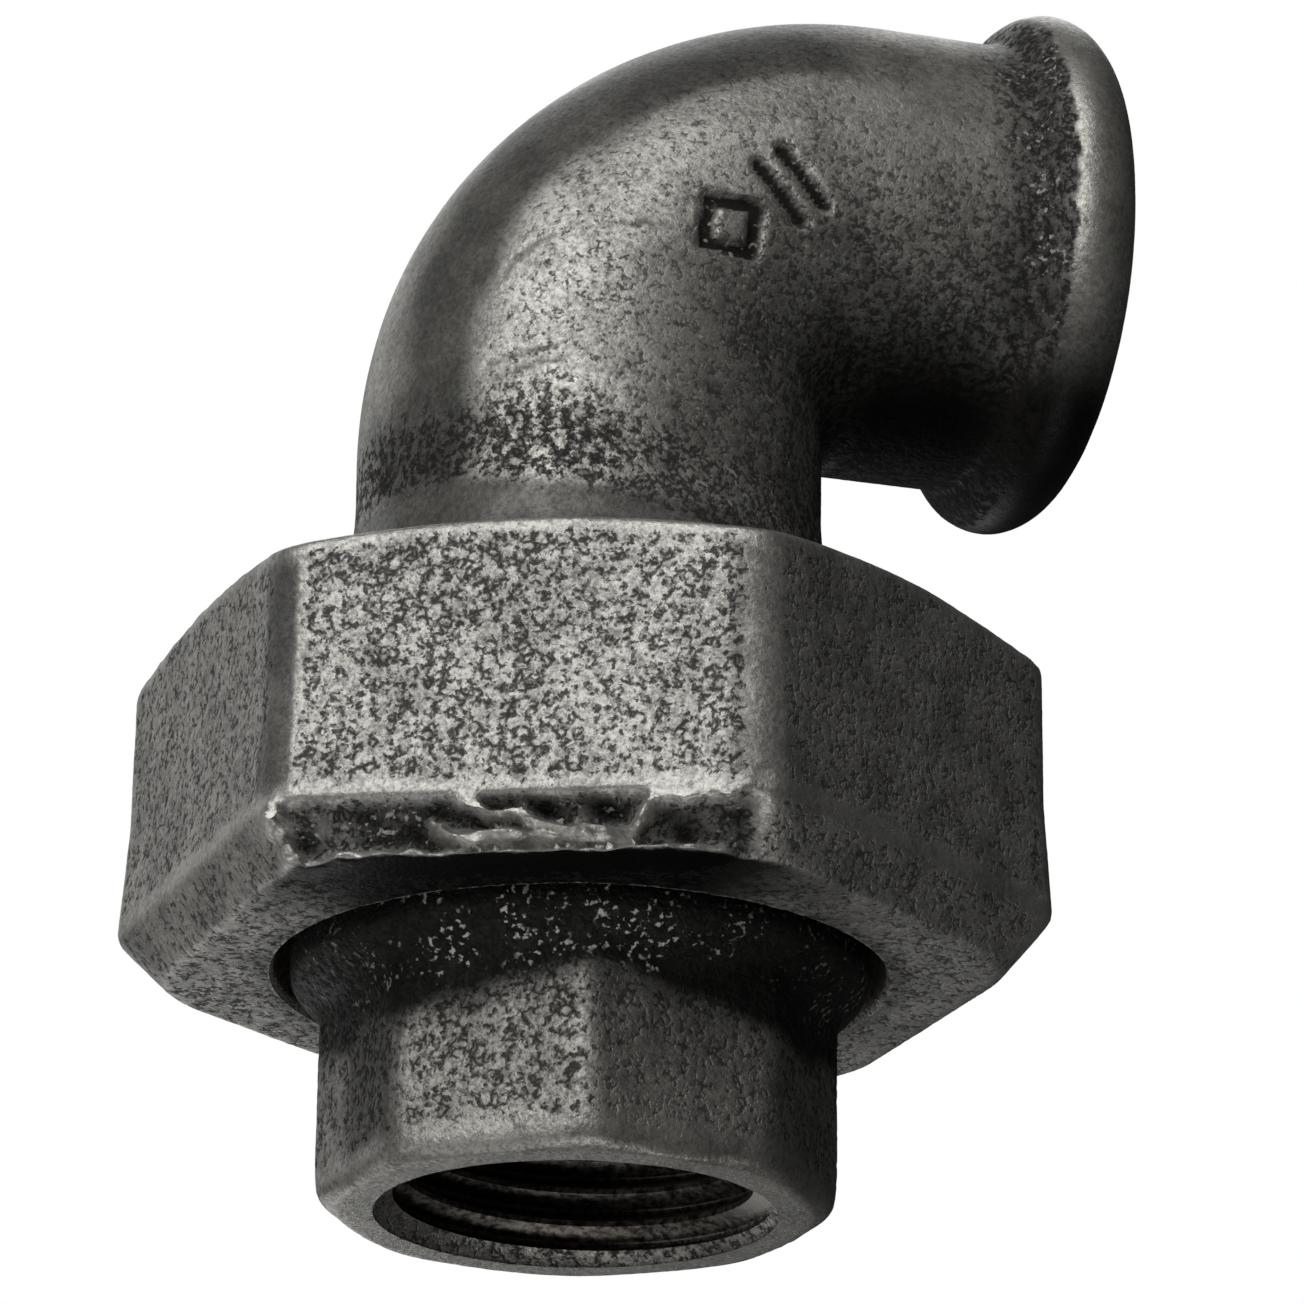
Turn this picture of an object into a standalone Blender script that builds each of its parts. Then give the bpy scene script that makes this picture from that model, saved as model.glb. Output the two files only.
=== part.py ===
"""A 90 degree union elbow for half-inch pipe, with a female thread at each end.

Four pieces come apart at one large nut: an octagonal tail piece, a flat gasket on its collar,
a hexagonal union nut that hangs on the collar, and an elbow whose male end screws into the nut.

Frame: metres, +Z up. The origin is the centre of the tail piece's end face, Z is the axis of
the union, and the outlet of the elbow points along +X.
"""

import math

import bmesh
import bpy
from mathutils import Matrix

# The elbow's path: up the union axis, round a quarter turn, out along +X.
OUTLET_HEIGHT = 0.0575
OUTLET_REACH = 0.0276
BEND_RADIUS = 0.01425
BEND_NARROWING = 0.023
TUBE_RADIUS = 0.01276
WATERWAY_RADIUS = 0.0098
BEND_STEPS = 12
TUBE_RESOLUTION = 16

# The rounded bead round the outlet, an ellipse turned about the outlet's axis.
BEAD_CENTRE_REACH = 0.0247
BEAD_CENTRE_RADIUS = 0.0116
BEAD_HALF_LENGTH = 0.00295
BEAD_HEIGHT = 0.0033
BEAD_STEPS = 9

# The male end of the elbow, inside the nut.
MALE_END = 0.0232
MALE_SHOULDER = 0.0308
MALE_CHAMFER = 0.0008
MALE_SEAT_RADIUS = 0.0165

# The neck widens into the male end: (radius, height) points.
NECK_FLARE = ((0.0127, 0.0400), (0.0130, 0.0355), (0.0133, 0.0336), (0.0143, 0.0320))

# The tail piece: an octagon, then a cone out to a round hub, then the collar.
TAIL_APOTHEM = 0.01290
TAIL_CORNER_RADIUS = 0.0020
TAIL_CORNER_ANGLE = math.radians(31.46)
TAIL_EDGE_ROUND = 0.0009
TAIL_FLARE_START = 0.0098
TAIL_FLARE_END = 0.0123
TAIL_FLARE_RADIUS = 0.01275
HUB_RADIUS = 0.0155
COLLAR_RADIUS = 0.0172
COLLAR_UNDERSIDE = 0.0169
TAIL_TOP = 0.0206

# The flat gasket between the collar and the elbow's male end.
GASKET_OUTER_RADIUS = 0.0165
GASKET_INNER_RADIUS = 0.0115
GASKET_UNDERSIDE = 0.0209
GASKET_TOP = 0.0229

# The union nut: a hexagon with a bevelled foot and a shallow cone over its top. Its sides
# widen a little towards the top of the bevel.
NUT_FOOT = 0.0128
NUT_FOOT_APOTHEM = 0.0204
NUT_FOOT_CORNER_RADIUS = 0.0090
NUT_BEVEL_TOP = 0.0157
NUT_BEVEL_APOTHEM = 0.0222
NUT_WAIST = 0.0222
NUT_APOTHEM = 0.0218
NUT_CORNER_RADIUS = 0.0032
NUT_CORNER_ANGLE = math.radians(36.23)
NUT_TOP = 0.0314
NUT_TOP_FACE_RADIUS = 0.0200
NUT_CONE_DROP = 0.0017
NUT_CONE_RADIUS = 0.0252
NUT_CONE_EDGE = 0.0010
NUT_HOLE_RADIUS = 0.01628
NUT_SHOULDER = 0.0166
NUT_RELIEF_TOP = 0.0188
NUT_RELIEF_RADIUS = 0.0192

# Threads: the Whitworth form with flats. Half-inch pipe has 14 threads an inch and the
# union's own thread, G 1 1/8, has 11.
THREAD_HALF_ANGLE = math.radians(27.5)
PIPE_PITCH = 0.0254 / 14
PIPE_MAJOR_RADIUS = 0.010478
PIPE_MINOR_RADIUS = 0.009316
PIPE_TURNS = 8
PIPE_RUN_IN = 0.0009
PIPE_MOUTH_RADIUS = 0.0110
PIPE_MOUTH_DEPTH = 0.00145
SOCKET_DEPTH = 0.0150
THREAD_DEPTH = 0.0130
UNION_PITCH = 0.0254 / 11
UNION_MAJOR_RADIUS = 0.018949
UNION_MINOR_RADIUS = 0.017470
UNION_RADIAL_PLAY = 0.0001
UNION_FLANK_PLAY = 0.0001
UNION_PHASE = 0.0237
NUT_THREAD_TURNS = 7
NUT_THREAD_LEAD = 3
MALE_THREAD_TURNS = 4
MALE_THREAD_STOP = 0.0305
THREAD_OVERLAP = 0.00015

# How far a cutter runs past the face it cuts.
PAST = 0.001

# Facets a turn: union thread and bores, pipe threads, plain rounds, the nut's cone.
TURN_STEPS = 30
PIPE_STEPS = 24
ROUND_STEPS = 40
CONE_STEPS = 96
CORNER_STEPS = 4
EDGE_STEPS = 2
WELD = 0.000002
CLEAN_WELD = 0.000005
SMOOTH_ANGLE = math.radians(35)

IRON_GREY = (0.085, 0.082, 0.078, 1.0)
SEAL_BLACK = (0.02, 0.02, 0.02, 1.0)


def clear_scene():
    """Removes every object, so that the file can be run again."""
    for old in list(bpy.data.objects):
        bpy.data.objects.remove(old)


def new_collection(name):
    """A collection of that name in the scene."""
    collection = bpy.data.collections.new(name)
    bpy.context.scene.collection.children.link(collection)
    return collection


def new_material(name, colour, roughness, metallic):
    """A plain Principled material."""
    material = bpy.data.materials.new(name)
    material.use_nodes = True
    shader = material.node_tree.nodes["Principled BSDF"]
    shader.inputs["Base Color"].default_value = colour
    shader.inputs["Roughness"].default_value = roughness
    shader.inputs["Metallic"].default_value = metallic
    return material


def new_object(name, bm, collection):
    """An object that holds the bmesh, smooth except at its sharp edges."""
    mesh = bpy.data.meshes.new(name)
    bm.to_mesh(mesh)
    bm.free()
    mesh.shade_smooth()
    mesh.set_sharp_from_angle(angle=SMOOTH_ANGLE)
    made = bpy.data.objects.new(name, mesh)
    collection.objects.link(made)
    return made


def make_cutter(made):
    """Marks an object as a tool for Boolean modifiers."""
    made.hide_render = True
    made.display_type = "WIRE"
    return made


def profile_object(name, points, collection, closed):
    """The outline of a turned shape: (radius, height) points joined by edges."""
    bm = bmesh.new()
    corners = [bm.verts.new((radius, 0, height)) for radius, height in points]
    for start, end in zip(corners, corners[1:]):
        bm.edges.new((start, end))
    if closed:
        bm.edges.new((corners[-1], corners[0]))
    return new_object(name, bm, collection)


def turned(name, points, collection, closed=False, steps=ROUND_STEPS):
    """A profile turned about Z. Its outer side runs down."""
    made = profile_object(name, points, collection, closed)
    screw = made.modifiers.new("Turn", "SCREW")
    screw.steps = steps
    screw.render_steps = steps
    screw.use_merge_vertices = True
    screw.merge_threshold = WELD
    screw.use_smooth_shade = True
    return made


def evaluated_bmesh(made):
    """A bmesh of the object with its modifiers, in world space."""
    bpy.context.view_layer.update()
    graph = bpy.context.evaluated_depsgraph_get()
    mesh = bpy.data.meshes.new_from_object(made.evaluated_get(graph))
    mesh.transform(made.matrix_world)
    bm = bmesh.new()
    bm.from_mesh(mesh)
    bpy.data.meshes.remove(mesh)
    bpy.data.objects.remove(made)
    return bm


def coil(name, section, pitch, turns, start_height, collection, steps=TURN_STEPS):
    """A right-handed helical bar with flat ends. The section is (radius, height) points."""
    points = [(radius, start_height + height) for radius, height in section]
    swept = profile_object(name, points, collection, closed=True)
    screw = swept.modifiers.new("Turn", "SCREW")
    screw.steps = steps
    screw.render_steps = steps
    screw.iterations = turns
    screw.screw_offset = pitch
    screw.use_merge_vertices = True
    screw.merge_threshold = WELD
    bm = evaluated_bmesh(swept)
    bmesh.ops.holes_fill(bm, edges=[edge for edge in bm.edges if edge.is_boundary])
    bmesh.ops.recalc_face_normals(bm, faces=bm.faces)
    return new_object(name, bm, collection)


def thread_section(minor, major, pitch, inner, outer, flank_play):
    """A thread ridge or groove between two radii, wide at the inner one."""
    middle = (minor + major) / 2

    def half_width(radius):
        return pitch / 4 - (radius - middle) * math.tan(THREAD_HALF_ANGLE) + flank_play

    return [
        (outer, half_width(outer)),
        (outer, -half_width(outer)),
        (inner, -half_width(inner)),
        (inner, half_width(inner)),
    ]


def half_step(steps=TURN_STEPS):
    """Half a facet about Z, which keeps a bore's edges clear of its thread's."""
    return Matrix.Rotation(math.pi / steps, 4, "Z")


def combine(target, other, operation):
    """Adds a Boolean modifier, and hides the other object as a tool."""
    boolean = target.modifiers.new(other.name, "BOOLEAN")
    boolean.object = make_cutter(other)
    boolean.operation = operation
    boolean.solver = "EXACT"


def clean(made):
    """Welds the slivers that Booleans leave."""
    weld = made.modifiers.new("Weld", "WELD")
    weld.mode = "CONNECTED"
    weld.merge_threshold = CLEAN_WELD
    return made


def rounded_polygon(sides, apothem, corner_radius, first_corner):
    """The outline of a regular polygon whose corners are arcs."""
    share = 2 * math.pi / sides
    inset = (apothem - corner_radius) / math.cos(share / 2)
    points = []
    for corner in range(sides):
        direction = first_corner + corner * share
        for step in range(CORNER_STEPS + 1):
            turn = direction + (step / CORNER_STEPS - 0.5) * share
            x = inset * math.cos(direction) + corner_radius * math.cos(turn)
            y = inset * math.sin(direction) + corner_radius * math.sin(turn)
            points.append((x, y))
    return points


def lofted(name, sections, collection):
    """A closed solid through (outline, height) sections, from the lowest to the highest."""
    bm = bmesh.new()
    rings = [[bm.verts.new((x, y, height)) for x, y in outline] for outline, height in sections]
    for lower, upper in zip(rings, rings[1:]):
        for here in range(len(lower)):
            bm.faces.new((lower[here - 1], lower[here], upper[here], upper[here - 1]))
    bm.faces.new(list(reversed(rings[0])))
    bm.faces.new(rings[-1])
    return new_object(name, bm, collection)


def elbow_tube(name, radius, start_height, end_reach, collection):
    """A round bar along the elbow's centreline, as a mesh."""
    path = [(0, 0, start_height)]
    for step in range(BEND_STEPS + 1):
        turn = step / BEND_STEPS * math.pi / 2
        x = BEND_RADIUS * (1 - math.cos(turn))
        z = OUTLET_HEIGHT - BEND_RADIUS * (1 - math.sin(turn))
        path.append((x, 0, z))
    path.append((end_reach, 0, OUTLET_HEIGHT))
    curve = bpy.data.curves.new(name, "CURVE")
    curve.dimensions = "3D"
    curve.bevel_depth = radius
    curve.bevel_resolution = TUBE_RESOLUTION
    curve.render_resolution_u = 0
    curve.use_fill_caps = True
    spline = curve.splines.new("POLY")
    spline.points.add(len(path) - 1)
    for point, place in zip(spline.points, path):
        point.co = (*place, 1)
    for step in range(BEND_STEPS + 1):
        spline.points[step + 1].radius = 1 - BEND_NARROWING * math.sin(math.pi * step / BEND_STEPS)
    swept = bpy.data.objects.new(name, curve)
    collection.objects.link(swept)
    bm = evaluated_bmesh(swept)
    bmesh.ops.remove_doubles(bm, verts=bm.verts, dist=WELD)
    bmesh.ops.recalc_face_normals(bm, faces=bm.faces)
    return new_object(name, bm, collection)


def cut_pipe_socket(target, name, place, tools):
    """Cuts a female half-inch thread. place moves tools made about Z, mouth at 0, going up."""
    past = -PIPE_RUN_IN
    bore = [
        (0, SOCKET_DEPTH),
        (PIPE_MINOR_RADIUS, SOCKET_DEPTH),
        (PIPE_MINOR_RADIUS, PIPE_MOUTH_DEPTH),
        (PIPE_MOUTH_RADIUS, 0),
        (PIPE_MOUTH_RADIUS, past),
        (0, past),
    ]
    section = thread_section(
        PIPE_MINOR_RADIUS,
        PIPE_MAJOR_RADIUS,
        PIPE_PITCH,
        PIPE_MINOR_RADIUS - THREAD_OVERLAP,
        PIPE_MAJOR_RADIUS,
        0,
    )
    cut = turned(name + "_bore", bore, tools, steps=PIPE_STEPS)
    cut.matrix_world = place @ half_step(PIPE_STEPS)
    combine(target, cut, "DIFFERENCE")
    groove = coil(name + "_thread", section, PIPE_PITCH, PIPE_TURNS, past, tools, PIPE_STEPS)
    groove.matrix_world = place
    combine(target, groove, "DIFFERENCE")


def make_tail_piece(parts, tools):
    """An octagon flared to a round hub and collar, with a threaded socket in its foot."""
    sections = []
    for step in range(EDGE_STEPS + 1):
        turn = step / EDGE_STEPS * math.pi / 2
        apothem = TAIL_APOTHEM - TAIL_EDGE_ROUND * (1 - math.sin(turn))
        outline = rounded_polygon(8, apothem, TAIL_CORNER_RADIUS, TAIL_CORNER_ANGLE)
        sections.append((outline, TAIL_EDGE_ROUND * (1 - math.cos(turn))))
    sections.append((outline, (TAIL_FLARE_START + 4 * TAIL_FLARE_END) / 5))
    tail = lofted("tail_piece", sections, parts)
    hub = [
        (0, TAIL_TOP),
        (COLLAR_RADIUS, TAIL_TOP),
        (COLLAR_RADIUS, COLLAR_UNDERSIDE),
        (HUB_RADIUS, COLLAR_UNDERSIDE),
        (HUB_RADIUS, TAIL_FLARE_END),
        (TAIL_FLARE_RADIUS, TAIL_FLARE_START),
        (0, TAIL_FLARE_START),
    ]
    combine(tail, turned("tail_hub", hub, tools), "UNION")
    waterway = [
        (0, TAIL_TOP + PAST),
        (WATERWAY_RADIUS, TAIL_TOP + PAST),
        (WATERWAY_RADIUS, THREAD_DEPTH),
        (0, THREAD_DEPTH),
    ]
    cut = turned("tail_waterway", waterway, tools, steps=TURN_STEPS)
    cut.matrix_world = half_step()
    combine(tail, cut, "DIFFERENCE")
    cut_pipe_socket(tail, "tail_socket", Matrix.Identity(4), tools)
    return clean(tail)


def make_gasket(parts):
    """A flat ring."""
    ring = [
        (GASKET_OUTER_RADIUS, GASKET_TOP),
        (GASKET_OUTER_RADIUS, GASKET_UNDERSIDE),
        (GASKET_INNER_RADIUS, GASKET_UNDERSIDE),
        (GASKET_INNER_RADIUS, GASKET_TOP),
    ]
    return turned("flat_gasket", ring, parts, closed=True)


def make_union_nut(parts, tools):
    """A hexagon with a bevelled foot, a shoulder that pulls the collar up, and the union thread."""
    foot = rounded_polygon(6, NUT_FOOT_APOTHEM, NUT_FOOT_CORNER_RADIUS, NUT_CORNER_ANGLE)
    full = rounded_polygon(6, NUT_APOTHEM, NUT_CORNER_RADIUS, NUT_CORNER_ANGLE)
    bevel = rounded_polygon(6, NUT_BEVEL_APOTHEM, NUT_CORNER_RADIUS, NUT_CORNER_ANGLE)
    sections = [
        (foot, NUT_FOOT),
        (bevel, NUT_BEVEL_TOP),
        (full, NUT_WAIST),
        (full, NUT_TOP + PAST),
    ]
    nut = lofted("union_nut", sections, parts)
    cone = [
        (0, NUT_TOP),
        (NUT_TOP_FACE_RADIUS, NUT_TOP),
        (NUT_CONE_RADIUS, NUT_TOP - NUT_CONE_DROP),
        (NUT_CONE_RADIUS + NUT_CONE_EDGE, NUT_TOP - NUT_CONE_DROP - NUT_CONE_EDGE),
        (NUT_CONE_RADIUS + NUT_CONE_EDGE, NUT_FOOT - PAST),
        (0, NUT_FOOT - PAST),
    ]
    combine(nut, turned("nut_cone", cone, tools, steps=CONE_STEPS), "INTERSECT")
    minor = UNION_MINOR_RADIUS + UNION_RADIAL_PLAY
    major = UNION_MAJOR_RADIUS + UNION_RADIAL_PLAY
    bore = [
        (0, NUT_TOP + PAST),
        (major, NUT_TOP + PAST),
        (major, NUT_TOP),
        (minor, NUT_TOP - (major - minor)),
        (minor, NUT_RELIEF_TOP + (NUT_RELIEF_RADIUS - minor)),
        (NUT_RELIEF_RADIUS, NUT_RELIEF_TOP),
        (NUT_RELIEF_RADIUS, NUT_SHOULDER),
        (NUT_HOLE_RADIUS, NUT_SHOULDER),
        (NUT_HOLE_RADIUS, NUT_FOOT - PAST),
        (0, NUT_FOOT - PAST),
    ]
    cut = turned("nut_bore", bore, tools, steps=TURN_STEPS)
    cut.matrix_world = half_step()
    combine(nut, cut, "DIFFERENCE")
    section = thread_section(
        UNION_MINOR_RADIUS,
        UNION_MAJOR_RADIUS,
        UNION_PITCH,
        minor - THREAD_OVERLAP,
        major,
        UNION_FLANK_PLAY,
    )
    start = UNION_PHASE - NUT_THREAD_LEAD * UNION_PITCH
    groove = coil("nut_thread", section, UNION_PITCH, NUT_THREAD_TURNS, start, tools)
    combine(nut, groove, "DIFFERENCE")
    return clean(nut)


def male_thread(core, tools):
    """The ridge of the male union thread, with a chamfer where it starts and stops."""
    section = thread_section(
        UNION_MINOR_RADIUS,
        UNION_MAJOR_RADIUS,
        UNION_PITCH,
        core - THREAD_OVERLAP,
        UNION_MAJOR_RADIUS - UNION_RADIAL_PLAY,
        -UNION_FLANK_PLAY,
    )
    start = UNION_PHASE - UNION_PITCH
    ridge = coil("male_thread", section, UNION_PITCH, MALE_THREAD_TURNS, start, tools)
    height = 2 * (UNION_MAJOR_RADIUS - core)
    reach = [
        (0, MALE_THREAD_STOP),
        (core, MALE_THREAD_STOP),
        (core + height, MALE_THREAD_STOP - height / 2),
        (core + height, MALE_END + MALE_CHAMFER + height),
        (core, MALE_END + MALE_CHAMFER),
        (core, MALE_END + MALE_CHAMFER / 8),
        (0, MALE_END + MALE_CHAMFER / 8),
    ]
    combine(ridge, turned("thread_reach", reach, tools, steps=CONE_STEPS), "INTERSECT")
    return ridge


def outlet_bead(tools):
    """The rounded bead, cut off flat at the outlet's face."""
    face = math.asin((OUTLET_REACH - BEAD_CENTRE_REACH) / BEAD_HALF_LENGTH)
    back = -math.pi / 2
    profile = [(0, OUTLET_REACH)]
    for step in range(BEAD_STEPS + 1):
        turn = face + (back - face) * step / BEAD_STEPS
        radius = BEAD_CENTRE_RADIUS + BEAD_HEIGHT * math.cos(turn)
        profile.append((radius, BEAD_CENTRE_REACH + BEAD_HALF_LENGTH * math.sin(turn)))
    profile.append((0, BEAD_CENTRE_REACH - BEAD_HALF_LENGTH))
    bead = turned("outlet_bead", profile, tools)
    bead.matrix_world = Matrix.Translation((0, 0, OUTLET_HEIGHT)) @ Matrix.Rotation(math.pi / 2, 4, "Y")
    return bead


def make_elbow_body(parts, tools):
    """The neck, the bend and the beaded outlet, with the threaded male end below."""
    elbow = elbow_tube("elbow_body", TUBE_RADIUS, MALE_SHOULDER - PAST, BEAD_CENTRE_REACH, parts)
    core = UNION_MINOR_RADIUS - UNION_RADIAL_PLAY
    stub = [
        (0, NECK_FLARE[0][1]),
        *NECK_FLARE,
        (core, MALE_SHOULDER),
        (core, MALE_END + MALE_CHAMFER),
        (MALE_SEAT_RADIUS, MALE_END),
        (0, MALE_END),
    ]
    male = turned("male_end", stub, tools, steps=TURN_STEPS)
    male.matrix_world = half_step()
    combine(elbow, male, "UNION")
    combine(elbow, male_thread(core, tools), "UNION")
    combine(elbow, outlet_bead(tools), "UNION")
    inner_end = OUTLET_REACH - THREAD_DEPTH
    waterway = elbow_tube("waterway", WATERWAY_RADIUS, MALE_END - PAST, inner_end, tools)
    combine(elbow, waterway, "DIFFERENCE")
    mouth = Matrix.Translation((OUTLET_REACH, 0, OUTLET_HEIGHT)) @ Matrix.Rotation(-math.pi / 2, 4, "Y")
    cut_pipe_socket(elbow, "outlet_socket", mouth, tools)
    return clean(elbow)


def main():
    clear_scene()
    parts = new_collection("union_elbow")
    tools = new_collection("cutters")
    iron = new_material("black_iron", IRON_GREY, 0.55, 0.85)
    seal = new_material("seal_rubber", SEAL_BLACK, 0.8, 0.0)
    for casting in (
        make_tail_piece(parts, tools),
        make_union_nut(parts, tools),
        make_elbow_body(parts, tools),
    ):
        casting.data.materials.append(iron)
    make_gasket(parts).data.materials.append(seal)


main()
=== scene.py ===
"""The looks of the union elbow: three rough black-iron castings and a rubber gasket.

Each casting is a raw shape, remeshed and worn smooth at its edges, roughened by the same grain
that its material draws, and then machined: bores, threads, seat and collar are cut with clean
tools. Shapes are worked out in millimetres and scaled to metres at the end.
"""

import math
from typing import NamedTuple

import bmesh
import bpy
import numpy as np
from mathutils import Matrix, Vector, noise


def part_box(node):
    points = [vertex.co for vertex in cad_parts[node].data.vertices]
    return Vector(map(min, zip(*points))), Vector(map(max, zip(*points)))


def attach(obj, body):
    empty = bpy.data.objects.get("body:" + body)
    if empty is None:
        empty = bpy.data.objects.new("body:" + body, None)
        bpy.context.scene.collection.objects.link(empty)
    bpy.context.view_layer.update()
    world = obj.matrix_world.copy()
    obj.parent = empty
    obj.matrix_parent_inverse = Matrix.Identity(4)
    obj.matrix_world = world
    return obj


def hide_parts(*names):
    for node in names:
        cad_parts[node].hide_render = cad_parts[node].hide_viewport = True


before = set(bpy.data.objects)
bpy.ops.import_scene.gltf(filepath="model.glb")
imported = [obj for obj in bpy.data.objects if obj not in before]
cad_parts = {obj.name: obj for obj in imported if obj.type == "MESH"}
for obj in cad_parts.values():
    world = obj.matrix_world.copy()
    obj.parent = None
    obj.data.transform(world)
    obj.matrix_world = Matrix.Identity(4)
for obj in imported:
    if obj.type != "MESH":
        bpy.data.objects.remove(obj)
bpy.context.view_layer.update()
MM = 0.001

TAIL_TOP = (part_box("tail_piece")[1] / MM).z
NUT_LOW, NUT_HIGH = (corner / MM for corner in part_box("union_nut"))
ELBOW_LOW, ELBOW_HIGH = (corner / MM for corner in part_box("elbow_body"))
GASKET_LOW, GASKET_HIGH = (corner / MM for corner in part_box("flat_gasket"))

# The elbow: its path, its bore and the bead round its outlet.
OUTLET_REACH = ELBOW_HIGH.x
BEAD_RADIUS = 14.9
OUTLET_HEIGHT = ELBOW_HIGH.z - BEAD_RADIUS
BEND_RADIUS = 14.25
BEND_NARROWING = 0.023
TUBE_RADIUS = 12.80
WATERWAY_RADIUS = 9.8
BEAD_CENTRE_REACH = 24.7
BEAD_HALF_LENGTH = 2.98
BEAD_CENTRE_RADIUS = 11.6
BEAD_HEIGHT = BEAD_RADIUS - BEAD_CENTRE_RADIUS
BEND_STEPS = 48
TUBE_STEPS = 128

# The male end of the elbow, and the neck that flares into it: (radius, height).
MALE_END = ELBOW_LOW.z
MALE_SHOULDER = 30.8
MALE_CHAMFER = 0.8
MALE_SEAT_RADIUS = 16.5
NECK_FLARE = ((0, 41.0), (12.6, 41.0), (12.95, 37.0), (13.25, 34.6), (14.0, 32.9), (15.2, 31.9), (17.3, 30.9))
STOCK = 0.5

# The tail piece: an octagon flared to a round hub, with a machined collar.
TAIL_APOTHEM = 12.92
TAIL_CORNER_RADIUS = 1.9
TAIL_CORNER_ANGLE = math.radians(31.46)
TAIL_EDGE_ROUND = 1.0
TAIL_END_CORNER_RADIUS = 5.5
TAIL_END_HEIGHT = 3.2
TAIL_FLARE = ((0, 12.6), (9.6, 12.7), (12.3, 15.4), (13.2, 15.5), (21, 15.5))
COLLAR_RADIUS = 17.2
COLLAR_UNDERSIDE = 16.9
COLLAR_ROUNDING = 0.25
HUB_RADIUS = 15.45
HUB_SKIM_LENGTH = 2.0

# The union nut: a hexagon with a bevelled foot and a shallow cone over its top.
NUT_FOOT = NUT_LOW.z
NUT_TOP = NUT_HIGH.z
NUT_APOTHEMS = ((12.8, 20.45), (15.7, 22.22), (22.2, 21.85), (31.4, 21.85))
NUT_CORNERS = ((12.8, 8.2), (15.7, 2.55), (31.4, 2.7))
NUT_CORNER_ANGLE = math.radians(36.23)
NUT_CONE = ((NUT_TOP - 2.6, 26.2), (NUT_TOP - 1.7, 25.3), (NUT_TOP, 20.1))
NUT_HOLE_RADIUS = 16.28
NUT_SHOULDER = 16.6
NUT_RELIEF_TOP = 18.8
NUT_RELIEF_RADIUS = 19.2
NUT_HOLE_FLARE = 0.35

# Threads, of the rounded Whitworth form: (minor radius, major radius, pitch, rounding).
THREAD_HALF_ANGLE = math.radians(27.5)
PIPE_PITCH = 25.4 / 14
PIPE_MAJOR_RADIUS = 10.478
PIPE_MINOR_RADIUS = 9.316
PIPE_TURNS = 8
PIPE_RUN_IN = 0.9
PIPE_MOUTH_RADIUS = 10.6
PIPE_MOUTH_DEPTH = 1.45
PIPE_THREAD = (PIPE_MINOR_RADIUS, PIPE_MAJOR_RADIUS, PIPE_PITCH, 0.16)
PIPE_MOUTH_FLARE = 0.15
PIPE_MOUTH_LIP = 0.25
SOCKET_DEPTH = 15.0
SOCKET_ROUNDING = 0.4
THREAD_DEPTH = 13.0
UNION_PITCH = 25.4 / 11
UNION_MAJOR_RADIUS = 18.949
UNION_MINOR_RADIUS = 17.470
UNION_PLAY = 0.1
UNION_THREAD = (UNION_MINOR_RADIUS, UNION_MAJOR_RADIUS, UNION_PITCH, 0.2)
UNION_PHASE = 23.7
THREAD_OVERLAP = 0.15
THREAD_STEPS = 96
LATHE_STEPS = 160
ARC_STEPS = 4
PAST = 1.0

# The gasket: a flat ring, pressed a little thinner in places.
GASKET_INNER_RADIUS = 11.5
GASKET_EDGE_ROUND = 0.35
GASKET_PRESSED = 0.05
GASKET_WAVE = 5.0

# The raw castings: size of the remesh, how far their edges are worn round, and how often each
# one is smoothed.
VOXEL = 0.25
WEAR_REACH = 0.30
NUT_PASSES = 14
ELBOW_PASSES = 10
TAIL_PASSES = 12


def smooth_step(low, high, value):
    """0 below low, 1 above high, and a smooth rise between them."""
    share = np.clip((value - low) / (high - low), 0, 1)
    return share * share * (3 - 2 * share)


# ---- mesh tools ----


def mesh_object(name, bm):
    """An object that holds the bmesh, with its faces pointing out."""
    bmesh.ops.recalc_face_normals(bm, faces=bm.faces)
    mesh = bpy.data.meshes.new(name)
    bm.to_mesh(mesh)
    bm.free()
    made = bpy.data.objects.new(name, mesh)
    bpy.context.scene.collection.objects.link(made)
    return made


def filleted(*corners):
    """A closed outline whose corners are arcs. A corner is (radius, height, rounding)."""
    outline = []
    count = len(corners)
    for here, (x, z, rounding) in enumerate(corners):
        point = np.array((x, z))
        if rounding == 0:
            outline.append(point)
            continue
        before = np.array(corners[here - 1][:2]) - point
        after = np.array(corners[(here + 1) % count][:2]) - point
        before /= np.linalg.norm(before)
        after /= np.linalg.norm(after)
        half = math.acos(np.clip(before @ after, -1, 1)) / 2
        middle = (before + after) / np.linalg.norm(before + after)
        centre = point + middle * rounding / math.sin(half)
        start = point + before * rounding / math.tan(half) - centre
        end = point + after * rounding / math.tan(half) - centre
        for step in range(ARC_STEPS + 1):
            share = step / ARC_STEPS
            spoke = start * (1 - share) + end * share
            outline.append(centre + spoke / np.linalg.norm(spoke) * rounding)
    return outline


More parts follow.
